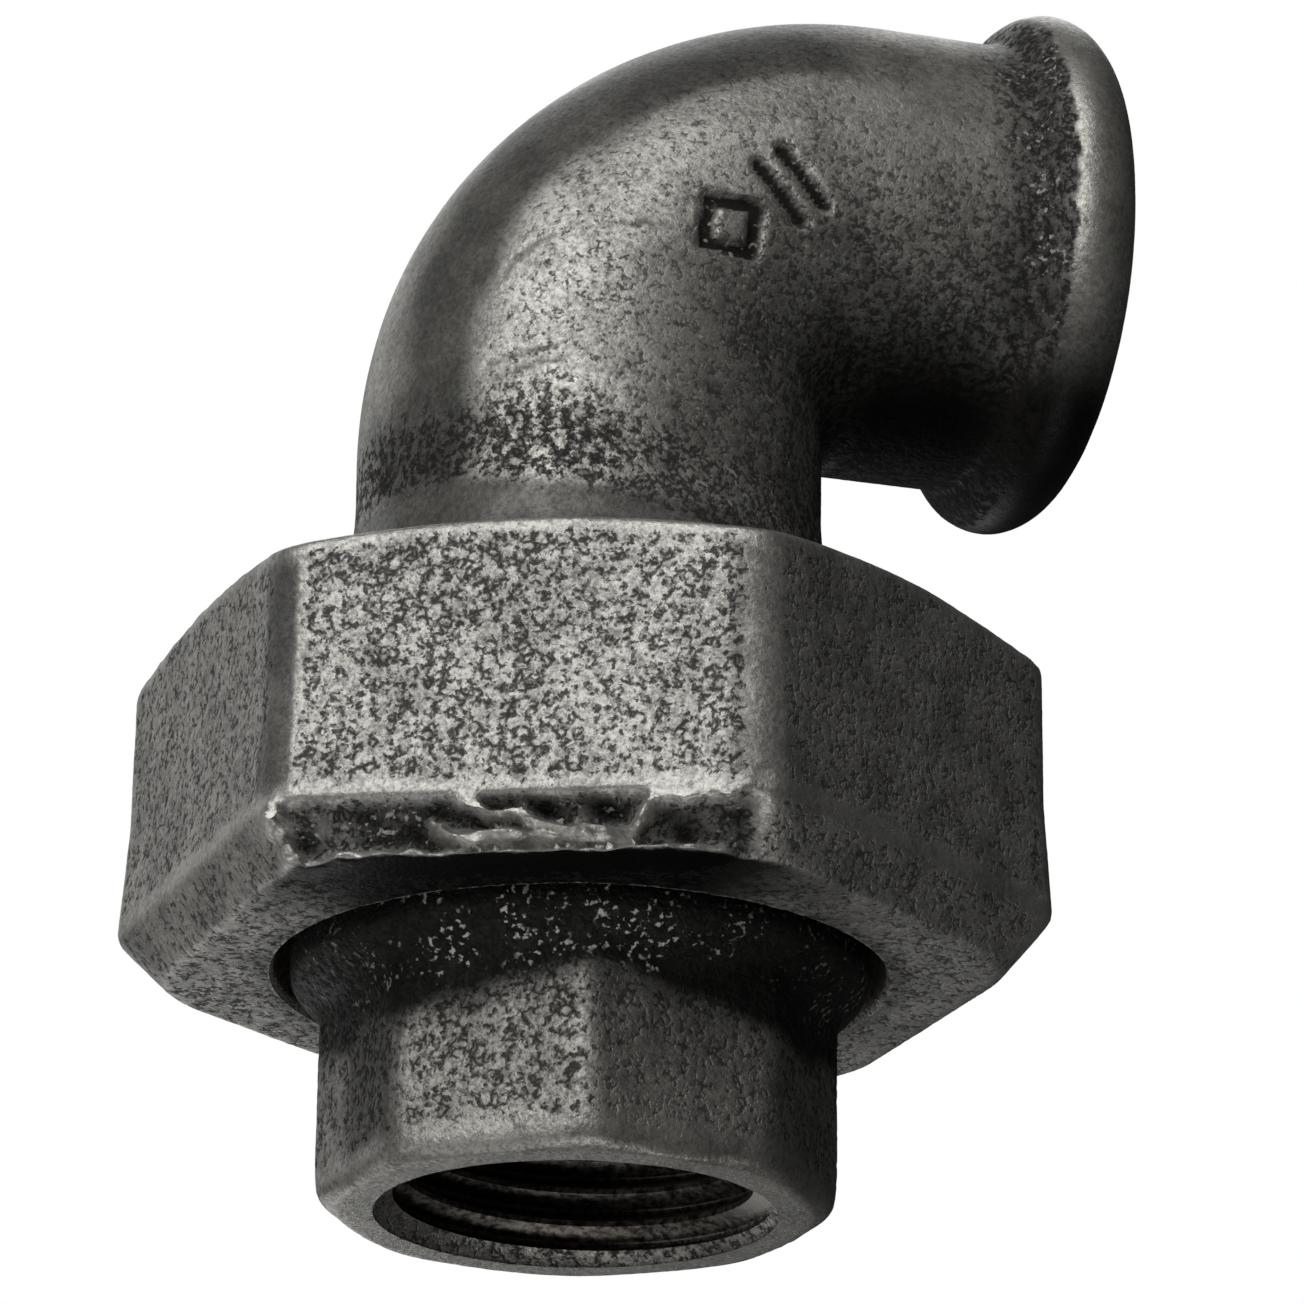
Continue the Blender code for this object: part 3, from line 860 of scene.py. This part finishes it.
def nut_soot(places):
    """Painted shade on the nut's foot, in front, and close to the hole all round."""
    radius = np.hypot(places[:, 0], places[:, 1])
    foot = smooth_step(*FOOT_SHADE_DEPTH, places[:, 2] - NUT_FOOT)
    front = smooth_step(*FRONT_SHADE, (places @ FLASH_OUTWARD) / radius)
    rim = smooth_step(*RIM_SHADE_REACH, radius - NUT_HOLE_RADIUS)
    return foot * np.maximum(front, RIM_SHADE * rim)


# The plain mark in the side of the bend: a diamond and two bars, as lines of (x, z).
MARK_CENTRE = Vector((5.6, 53.4))
MARK_SIZE = 1.9
MARK_TILT = math.radians(40)
MARK_DEPTH = 0.36
MARK_WIDTH = 0.40
MARK_LINES = (
    ((-1.9, 0.0), (-0.9, 1.0), (0.1, 0.0), (-0.9, -1.0), (-1.9, 0.0)),
    ((1.0, -1.0), (1.0, 1.0)),
    ((1.9, -1.0), (1.9, 1.0)),
)
MARK_SIDE = 8.0
MARK_RAGGED = 0.10

# Old scratches in the side of the bend, as lines of (x, z).
SCRATCHES = (
    ((-7.6, 48.9), (-7.0, 50.0), (-6.0, 50.8), (-5.2, 51.1)),
    ((-1.6, 51.9), (-0.2, 52.0), (1.0, 51.7)),
    ((-8.4, 43.5), (-6.8, 44.0), (-5.2, 44.2)),
    ((-8.1, 42.6), (-6.4, 43.2), (-4.8, 43.5)),
)
SCRATCH_DEPTH = 0.10
SCRATCH_WIDTH = 0.22


def add_mark(made):
    """Sinks the mark and the scratches into the side of the bend, stored as "groove"."""
    places = coordinates(made.data)
    out = normals(made.data)
    across = np.abs(places[:, 0] - MARK_CENTRE.x)
    above = np.abs(places[:, 2] - MARK_CENTRE.y)
    front = (out[:, 1] < -0.5) & (across < MARK_SIDE) & (above < MARK_SIDE)
    chosen = places[front]
    cosine = math.cos(MARK_TILT)
    sine = math.sin(MARK_TILT)
    turned = (chosen[:, (0, 2)] - np.array(MARK_CENTRE)) @ np.array(((cosine, -sine), (sine, cosine)))
    flat = turned / MARK_SIZE
    ragged = MARK_RAGGED * wobble(chosen, size=0.35, seed=4)
    gap = np.min([line_distance(flat, line)[0] for line in MARK_LINES], axis=0) * MARK_SIZE
    sunk = 1 - smooth_step(MARK_WIDTH * 0.7, MARK_WIDTH * 1.4, gap + ragged)
    places[front] -= out[front] * (MARK_DEPTH * sunk)[:, None]
    groove = np.zeros(len(places))
    groove[front] = sunk
    side = out[:, 1] < -0.3
    scratched = places[side]
    gap = np.min([line_distance(scratched[:, (0, 2)], line)[0] for line in SCRATCHES], axis=0)
    sunk = 1 - smooth_step(0.3 * SCRATCH_WIDTH, SCRATCH_WIDTH, gap)
    sunk *= 0.7 + 0.6 * wobble(scratched, size=0.6, seed=10)
    places[side] -= out[side] * (SCRATCH_DEPTH * sunk)[:, None]
    groove[side] = np.maximum(groove[side], np.clip(0.55 * sunk, 0, 1))
    set_coordinates(made.data, places)
    store(made.data, groove=groove)


def nut_radius(direction, height):
    """The nut's raw outline at a height."""
    apothem = table(NUT_APOTHEMS, height)
    corner = table(NUT_CORNERS, height)
    hexagon = polygon_radius(direction, 6, apothem, corner, NUT_CORNER_ANGLE)
    return np.minimum(hexagon, table(NUT_CONE, height))


def make_nut():
    """The hexagon with its flash, bored, shouldered and threaded."""
    levels = np.linspace(NUT_FOOT, NUT_TOP, 94)
    nut = fused("union_nut_casting", [radial_solid("raw_nut", nut_radius, levels)])
    worn(nut, NUT_PASSES)
    corner_soot = nut_borders(nut)
    flash_soot = add_flash(nut)
    foot_soot = nut_soot(coordinates(nut.data))
    # The nut's darkening is all painted shade: on its corners, in the flash's hollows and on its foot.
    store(nut.data, soot=np.max((corner_soot, flash_soot, foot_soot), axis=0))
    roughened(nut, NUT_LOOK)
    minor = UNION_MINOR_RADIUS + UNION_PLAY
    major = UNION_MAJOR_RADIUS + UNION_PLAY
    bore = filleted(
        (0, NUT_TOP + PAST, 0),
        (major + 0.1, NUT_TOP + PAST, 0),
        (major + 0.1, NUT_TOP - 0.1, 0),
        (minor, NUT_TOP - (major - minor), 0),
        (minor, NUT_RELIEF_TOP + (NUT_RELIEF_RADIUS - minor), 0),
        (NUT_RELIEF_RADIUS, NUT_RELIEF_TOP, 0),
        (NUT_RELIEF_RADIUS, NUT_SHOULDER, 0.3),
        (NUT_HOLE_RADIUS, NUT_SHOULDER, 0.2),
        (NUT_HOLE_RADIUS, NUT_FOOT + 0.5, 0),
        (NUT_HOLE_RADIUS + NUT_HOLE_FLARE, NUT_FOOT - 0.1, 0),
        (NUT_HOLE_RADIUS + NUT_HOLE_FLARE, NUT_FOOT - PAST, 0),
        (0, NUT_FOOT - PAST, 0),
    )
    cut(nut, swept("nut_boring_tool", bore))
    section = thread_section(UNION_THREAD, minor - THREAD_OVERLAP, major, UNION_PLAY)
    start = UNION_PHASE - 3 * UNION_PITCH
    tap = swept("nut_tap", section, 7, UNION_PITCH, start, THREAD_STEPS)
    cut(nut, tap)
    return nut


def tail_radius(direction, height):
    """The tail piece's raw outline at a height."""
    edge = max(TAIL_EDGE_ROUND - height, 0)
    apothem = TAIL_APOTHEM - (TAIL_EDGE_ROUND - math.sqrt(TAIL_EDGE_ROUND**2 - edge**2))
    near_end = max(1 - height / TAIL_END_HEIGHT, 0) ** 2
    corner = TAIL_CORNER_RADIUS + (TAIL_END_CORNER_RADIUS - TAIL_CORNER_RADIUS) * near_end
    octagon = polygon_radius(direction, 8, apothem, corner, TAIL_CORNER_ANGLE)
    hub = COLLAR_RADIUS + STOCK if height > COLLAR_UNDERSIDE - STOCK / 2 else table(TAIL_FLARE, height)
    return np.maximum(octagon, hub)


# Where the tail is darkened, from and to: under the nut by height, a painted shadow of the nut with some
# soot, and down one corner by its direction in degrees, painted shade on that corner. The darkening reaches
# lowest in front, and painted glints lie there.
TAIL_FRONT = -103
TAIL_HIDDEN = (8.6, 10.8)
TAIL_HIDDEN_SHADE_AND_SOOT = 0.95
TAIL_CORNER_START = (-149, -151)
TAIL_CORNER_END = (-178, -170)
TAIL_CORNER_FOOT = (0.8, 2.0)
TAIL_CORNER_SHADE = 0.75
TAIL_GLINTS = (9.4, 10.6)
TAIL_GLINT_FRONT = -110
TAIL_GLINT_SPREAD = (52, 12)
TAIL_RUBBED = (2.2, 1.3)
TAIL_RUBBED_WEAR = 0.55


def shade_and_soil_tail(made):
    """Painted shadow of the nut, with some soot, close under the nut, painted shade down one corner, and a
    smooth worn lower edge.
    """
    places = coordinates(made.data)
    height = places[:, 2]
    turn = np.degrees(np.arctan2(places[:, 1], places[:, 0]))
    dip = np.minimum(0.06 * np.abs(turn - TAIL_FRONT), 2.5)
    hidden = smooth_step(*TAIL_HIDDEN, height + wobble(places, size=3.0, seed=11) + dip)
    corner = smooth_step(*TAIL_CORNER_START, turn) * smooth_step(*TAIL_CORNER_END, turn)
    corner *= smooth_step(*TAIL_CORNER_FOOT, height)
    soot = np.maximum(TAIL_HIDDEN_SHADE_AND_SOOT * hidden, TAIL_CORNER_SHADE * corner)
    bright = smooth_step(*TAIL_GLINT_SPREAD, np.abs(turn - TAIL_GLINT_FRONT)) + 0.3
    crumbly = smooth_step(*TAIL_GLINTS, height + 0.4 * dip) * np.clip(bright, 0, 1)
    rubbed = smooth_step(*TAIL_RUBBED, height + 0.4 * wobble(places, size=1.5, seed=12))
    wear = np.maximum(stored(made.data, "wear"), TAIL_RUBBED_WEAR * rubbed)
    store(made.data, soot=soot, crumbly=crumbly, wear=wear)


def make_tail():
    """The octagonal tail with its machined collar and threaded socket."""
    levels = np.concatenate((np.linspace(0, 1.2, 14), np.linspace(1.4, TAIL_TOP + STOCK, 80)))
    tail = fused("tail_casting", [radial_solid("raw_tail", tail_radius, levels)])
    worn(tail, TAIL_PASSES)
    shade_and_soil_tail(tail)
    roughened(tail, TAIL_LOOK)
    skim = filleted(
        (COLLAR_RADIUS, COLLAR_UNDERSIDE, 0),
        (COLLAR_RADIUS, TAIL_TOP, COLLAR_ROUNDING),
        (0, TAIL_TOP, 0),
        (0, TAIL_TOP + 3, 0),
        (COLLAR_RADIUS + 3, TAIL_TOP + 3, 0),
        (COLLAR_RADIUS + 3, COLLAR_UNDERSIDE - HUB_SKIM_LENGTH, 0),
        (HUB_RADIUS, COLLAR_UNDERSIDE - HUB_SKIM_LENGTH, 0),
        (HUB_RADIUS, COLLAR_UNDERSIDE, 0.2),
    )
    cut(tail, swept("collar_tool", skim))
    above = TAIL_TOP + PAST
    waterway = ((0, above), (WATERWAY_RADIUS, above), (WATERWAY_RADIUS, THREAD_DEPTH), (0, THREAD_DEPTH))
    cut(tail, swept("tail_drill", waterway))
    cut_pipe_socket(tail, Matrix.Identity(4))
    return tail


def outlet_bead():
    """The rounded bead, cut off flat at the outlet's face."""
    face = math.asin((OUTLET_REACH - BEAD_CENTRE_REACH) / BEAD_HALF_LENGTH)
    turns = np.linspace(face, -math.pi / 2, 24)
    profile = [(0, OUTLET_REACH)]
    for turn in turns:
        radius = BEAD_CENTRE_RADIUS + BEAD_HEIGHT * math.cos(turn)
        profile.append((radius, BEAD_CENTRE_REACH + BEAD_HALF_LENGTH * math.sin(turn)))
    profile.append((0, BEAD_CENTRE_REACH - BEAD_HALF_LENGTH))
    bead = swept("bead", profile)
    bead.matrix_world = Matrix.Translation((0, 0, OUTLET_HEIGHT)) @ Matrix.Rotation(math.pi / 2, 4, "Y")
    return bead


def outer_side(places, out):
    """How far a place on the elbow faces away from the inside of the bend, from -1 to 1."""
    away_x = np.minimum(places[:, 0] - BEND_RADIUS, 0)
    away_z = np.maximum(places[:, 2] - (OUTLET_HEIGHT - BEND_RADIUS), 0)
    reach = np.maximum(np.hypot(away_x, away_z), 0.001)
    return (out[:, 0] * away_x + out[:, 2] * away_z) / reach


# How dark the elbow is painted, from 0 to 1: painted shade with soot at the neck's base, painted shade under
# the outlet, inside the bend and on its back, and a darker band before the bead.
NECK_SHADE_AND_SOOT = 0.70
UNDER_SHADE = 0.98
INSIDE_SHADE = 0.25
BACK_SHADE = 0.76
COLLAR_DARKENING = 0.72

# Where each zone starts and ends. The back's border moves inwards as the bend rises.
NECK_BASE = (36.7, 35.5)
UNDER_ALONG = (8.0, 15.0)
UNDER_BELOW = (53.5, 45.5)
INSIDE_BEND = (-0.35, -0.85)
INSIDE_BELOW = (56.0, 50.0)
BACK_BORDER = 0.72
BACK_WIDENING = 0.75
BACK_RISE = (-0.07, 0.06)
BACK_RIM = (0.92, 1.0)
BACK_RIM_UNSHADED = 0.8
BACK_END = (17.0, 9.0)
COLLAR_START = (17.5, 22.0)
CREST_START = (23.3, 23.6)
GLINT_BAND = ((0.55, 0.10), (-0.95, -0.60))
COARSE_NECK = ((42.5, 39.0), (35.4, 36.2))
SMOOTH_NECK = (35.3, 34.7)
SMOOTH_BACK = ((0.55, 0.80), (38, 42))
COARSE_INSIDE = (0.4, -0.4)
COARSENED = 0.40
SMOOTHED = 0.45
CREST_WEAR = 0.5


def shade_and_soil_elbow(made):
    """Lays the darkening (painted shade, with soot at the neck) and painted glints, and makes the skin coarse
    or smooth by zones.
    """
    places = coordinates(made.data)
    x = places[:, 0]
    z = places[:, 2]
    outer = outer_side(places, normals(made.data)) + 0.06 * wobble(places, size=5.0, seed=8)
    # Painted shade at the neck's base next to the nut, with soot.
    neck = smooth_step(*NECK_BASE, z + 0.10 * x + 0.5 * wobble(places, size=6.0, seed=7))
    # Painted shade under the outlet and inside the bend.
    under = smooth_step(*UNDER_ALONG, x) * smooth_step(*UNDER_BELOW, z)
    inside = smooth_step(*INSIDE_BEND, outer) * smooth_step(*INSIDE_BELOW, z)
    lift = np.clip((z - (OUTLET_HEIGHT - BEND_RADIUS)) / (TUBE_RADIUS + BEND_RADIUS), 0, 1)
    border = BACK_BORDER - BACK_WIDENING * lift**3
    # Painted shade on the back of the bend, lifted at the very outline.
    back = smooth_step(border + BACK_RISE[0], border + BACK_RISE[1], outer)
    back *= (1 - BACK_RIM_UNSHADED * smooth_step(*BACK_RIM, outer)) * smooth_step(*BACK_END, x)
    along = x + 0.25 * wobble(places, size=0.8, seed=13)
    crest = smooth_step(*CREST_START, along)
    collar = smooth_step(*COLLAR_START, along) * (1 - crest)
    curved = (UNDER_SHADE * under, INSIDE_SHADE * inside, BACK_SHADE * back)
    soot = np.max((NECK_SHADE_AND_SOOT * neck, *curved, COLLAR_DARKENING * collar), axis=0)
    # Painted glints on the side of the bend and before the bead.
    glint_band = 0.42 * smooth_step(*GLINT_BAND[0], outer) * smooth_step(*GLINT_BAND[1], outer)
    crumbly = np.maximum(glint_band, 0.6 * smooth_step(0.55, 0.8, collar))
    crumbly *= (1 - under) * (1 - crest) * (1 - neck)
    tilt = z + 0.15 * x
    coarse = smooth_step(*COARSE_NECK[0], tilt) * smooth_step(*COARSE_NECK[1], tilt)
    smooth = smooth_step(*SMOOTH_NECK, tilt)
    smooth += smooth_step(*SMOOTH_BACK[0], outer) * smooth_step(*SMOOTH_BACK[1], tilt)
    rough = np.max((coarse, 0.75 * smooth_step(*COARSE_INSIDE, outer), 0.9 * collar), axis=0)
    wear = stored(made.data, "wear") - COARSENED * rough + SMOOTHED * np.clip(smooth, 0, 1)
    store(made.data, soot=soot, crumbly=crumbly, wear=wear + CREST_WEAR * crest)


def make_elbow():
    """The neck, the bend and the beaded outlet, with the machined male end below."""
    stock_radius = UNION_MINOR_RADIUS + STOCK
    stub = [
        *NECK_FLARE,
        (stock_radius, MALE_SHOULDER - STOCK),
        (stock_radius, MALE_END - STOCK),
        (0, MALE_END - STOCK),
    ]
    tube = elbow_tube("raw_tube", TUBE_RADIUS, MALE_SHOULDER, BEAD_CENTRE_REACH)
    elbow = fused("elbow_casting", [tube, swept("raw_stub", stub), outlet_bead()])
    worn(elbow, ELBOW_PASSES)
    shade_and_soil_elbow(elbow)
    add_mark(elbow)
    roughened(elbow, ELBOW_LOOK)
    core = UNION_MINOR_RADIUS - UNION_PLAY
    crest = UNION_MAJOR_RADIUS - UNION_PLAY
    turning = (
        (core, MALE_SHOULDER),
        (stock_radius + 3, MALE_SHOULDER),
        (stock_radius + 3, MALE_END - 3),
        (0, MALE_END - 3),
        (0, MALE_END),
        (MALE_SEAT_RADIUS, MALE_END),
        (core, MALE_END + MALE_CHAMFER),
    )
    cut(elbow, swept("turning_tool", turning))
    section = thread_section(UNION_THREAD, core - THREAD_OVERLAP, crest, -UNION_PLAY)
    ridge = swept("male_thread", section, 4, UNION_PITCH, UNION_PHASE - UNION_PITCH, THREAD_STEPS)
    rise = 2 * (UNION_MAJOR_RADIUS - core)
    stop = MALE_SHOULDER - 0.3
    reach = (
        (0, stop),
        (core, stop),
        (core + rise, stop - rise / 2),
        (core + rise, MALE_END + MALE_CHAMFER + rise),
        (core, MALE_END + MALE_CHAMFER),
        (core - 0.1, MALE_END + 0.2),
        (0, MALE_END + 0.2),
    )
    cut(ridge, swept("thread_reach", reach), "INTERSECT")
    cut(elbow, ridge, "UNION")
    cut(elbow, elbow_tube("waterway", WATERWAY_RADIUS, MALE_END - PAST, OUTLET_REACH - THREAD_DEPTH))
    mouth = Matrix.Translation((OUTLET_REACH, 0, OUTLET_HEIGHT)) @ Matrix.Rotation(-math.pi / 2, 4, "Y")
    cut_pipe_socket(elbow, mouth)
    return elbow


def make_gasket():
    """A flat ring cut from sheet, with slightly rounded edges and a wavy, pressed face."""
    ring = filleted(
        (GASKET_HIGH.x, GASKET_HIGH.z, GASKET_EDGE_ROUND),
        (GASKET_HIGH.x, GASKET_LOW.z, GASKET_EDGE_ROUND),
        (GASKET_INNER_RADIUS, GASKET_LOW.z, GASKET_EDGE_ROUND),
        (GASKET_INNER_RADIUS, GASKET_HIGH.z, GASKET_EDGE_ROUND),
    )
    gasket = swept("gasket_ring", ring)
    places = coordinates(gasket.data)
    inward = GASKET_PRESSED * (1 + wobble(places, size=GASKET_WAVE, seed=6))
    middle = (GASKET_LOW.z + GASKET_HIGH.z) / 2
    places[:, 2] = middle + (places[:, 2] - middle) * (1 - inward)
    set_coordinates(gasket.data, places)
    return gasket


def finish_piece(made, body, node, materials, is_cut):
    """Scales a piece to metres, gives each face its material and hangs it on its body."""
    mesh = made.data
    centres = np.zeros(len(mesh.polygons) * 3, np.float32)
    mesh.polygons.foreach_get("center", centres)
    mesh.materials.clear()
    for material in materials:
        mesh.materials.append(material)
    chosen = is_cut(centres.reshape(-1, 3).astype(float)).astype(np.int32)
    mesh.polygons.foreach_set("material_index", np.minimum(chosen, len(materials) - 1))
    mesh.transform(Matrix.Scale(MM, 4))
    mesh.shade_smooth()
    mesh.set_sharp_from_angle(angle=math.radians(50))
    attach(made, body)
    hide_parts(node)
    return made


def tail_is_cut(centres):
    """Faces of the socket, the waterway and the collar."""
    radius = np.hypot(centres[:, 0], centres[:, 1])
    socket = (radius < PIPE_MOUTH_RADIUS) & (centres[:, 2] > PIPE_MOUTH_DEPTH * 0.8)
    collar = centres[:, 2] > COLLAR_UNDERSIDE - 1.9
    return socket | collar


def nut_is_cut(centres):
    """Faces inside the nut."""
    radius = np.hypot(centres[:, 0], centres[:, 1])
    hole = (radius < NUT_HOLE_RADIUS + 0.3) & (centres[:, 2] > NUT_FOOT + 0.55)
    threads = (radius < NUT_RELIEF_RADIUS + 0.05) & (centres[:, 2] > NUT_SHOULDER - 0.1)
    return hole | threads


def elbow_is_cut(centres):
    """Faces of the male end, the waterway and the outlet's socket."""
    radius = np.hypot(centres[:, 1], centres[:, 2] - OUTLET_HEIGHT)
    inside = (centres[:, 0] > BEND_RADIUS) & (centres[:, 0] < OUTLET_REACH - PIPE_MOUTH_DEPTH * 0.8)
    socket = inside & (radius < PIPE_MOUTH_RADIUS)
    male = centres[:, 2] < MALE_SHOULDER + 0.02
    across = np.hypot(centres[:, 0], centres[:, 1])
    waterway = (across < WATERWAY_RADIUS + 0.1) & (centres[:, 2] < OUTLET_HEIGHT - BEND_RADIUS)
    return socket | male | waterway


def make_pieces():
    """The four pieces, each on its body."""
    cut_grey = machined_iron("thread_iron")
    nut_iron = cast_iron("nut_cast_iron", NUT_LOOK)
    elbow_iron = cast_iron("elbow_cast_iron", ELBOW_LOOK)
    tail_iron = cast_iron("tail_cast_iron", TAIL_LOOK)
    finish_piece(make_tail(), "tail", "tail_piece", [tail_iron, cut_grey], tail_is_cut)
    finish_piece(make_nut(), "nut", "union_nut", [nut_iron, cut_grey], nut_is_cut)
    finish_piece(make_elbow(), "elbow", "elbow_body", [elbow_iron, cut_grey], elbow_is_cut)
    rubber = [seal_rubber("gasket_rubber")]
    finish_piece(make_gasket(), "gasket", "flat_gasket", rubber, lambda c: np.zeros(len(c)))


# ---- the stage ----


CAMERA_TARGET = Vector((0.003447, -0.000990, 0.031701))
CAMERA_DISTANCE = 0.31882
CAMERA_AZIMUTH = math.radians(-16.03)
CAMERA_ELEVATION = math.radians(-20.746)
CAMERA_ROLL = math.radians(0.812)
CAMERA_LENS = 162.2
FLOOR_DROP = 0.12
FLOOR_RADIUS = 1.5
FLOOR_GLOW = 0.5
WORLD_LIGHT = 0.03

# The soft boxes: name, azimuth, elevation, distance, width, height and watts.
LIGHTS = (
    ("key", -36.5, 28, 0.55, 0.48, 0.70, 4.2),
    ("low_fill", -85, -40, 0.6, 0.40, 0.40, 0.80),
    ("rim", -150, 22, 0.6, 0.30, 0.40, 0.42),
    ("under", -172, -20, 0.6, 0.40, 0.25, 0.65),
    ("below", 0, -85, 0.5, 0.22, 0.22, 0.8),
    ("back", 166, 45, 0.6, 0.35, 0.35, 0.8),
)


def direction_at(azimuth, elevation):
    """The way from the object to a viewer at that azimuth and elevation."""
    flat = math.cos(elevation)
    return Vector((math.sin(azimuth) * flat, -math.cos(azimuth) * flat, math.sin(elevation)))


def facing(towards, distance):
    """Stands at that distance from the target and looks back at it."""
    aim = (-towards).to_track_quat("-Z", "Y").to_matrix().to_4x4()
    return Matrix.Translation(CAMERA_TARGET + towards * distance) @ aim


def add_camera():
    """Looks up at the object from the front left, with a long lens."""
    towards = direction_at(CAMERA_AZIMUTH, CAMERA_ELEVATION)
    data = bpy.data.cameras.new("camera")
    data.lens = CAMERA_LENS
    data.sensor_width = 36
    data.clip_start = 0.01
    camera = bpy.data.objects.new("camera", data)
    camera.matrix_world = facing(towards, CAMERA_DISTANCE) @ Matrix.Rotation(CAMERA_ROLL, 4, "Z")
    bpy.context.scene.collection.objects.link(camera)
    bpy.context.scene.camera = camera


def add_light(name, azimuth, elevation, distance, width, height, watts):
    """A soft box that faces the object."""
    data = bpy.data.lights.new(name, "AREA")
    data.shape = "RECTANGLE"
    data.size = width
    data.size_y = height
    data.energy = watts
    towards = direction_at(math.radians(azimuth), math.radians(elevation))
    light = bpy.data.objects.new(name, data)
    light.matrix_world = facing(towards, distance)
    bpy.context.scene.collection.objects.link(light)


def add_world(lit):
    """White behind the object, and a dim even light on it."""
    world = bpy.data.worlds.new("studio")
    world.use_nodes = True
    bpy.context.scene.world = world
    graph = Graph(world.node_tree)
    seen = graph.add("ShaderNodeLightPath", "Is Camera Ray")
    strength = graph.rise(seen, 0.0, 1.0, lit, 1.0)
    back = world.node_tree.nodes["Background"]
    back.inputs["Color"].default_value = (1, 1, 1, 1)
    world.node_tree.links.new(strength, back.inputs["Strength"])


def add_floor():
    """A pale round floor well below the object, which hangs on its pipe."""
    bm = bmesh.new()
    bmesh.ops.create_circle(bm, cap_ends=True, radius=FLOOR_RADIUS, segments=96)
    floor = mesh_object("floor", bm)
    floor.location = (0, 0, -FLOOR_DROP)
    material, graph, shader, place = new_material("pale_floor")
    dust = graph.rise(graph.noise(place, 0.02, 3), 0.3, 0.7, 0.0, 1.0)
    colour = graph.blend(dust, (0.80, 0.80, 0.79, 1.0), (0.84, 0.84, 0.83, 1.0))
    feed(graph, shader, Base_Color=colour, Roughness=0.7, Emission_Color=colour, Emission_Strength=FLOOR_GLOW)
    floor.data.materials.append(material)
    floor.visible_diffuse = False
    floor.visible_glossy = False
    floor.visible_shadow = False


make_pieces()
add_camera()
add_world(WORLD_LIGHT)
for light in LIGHTS:
    add_light(*light)
add_floor()
bpy.context.scene.view_settings.view_transform = "Standard"
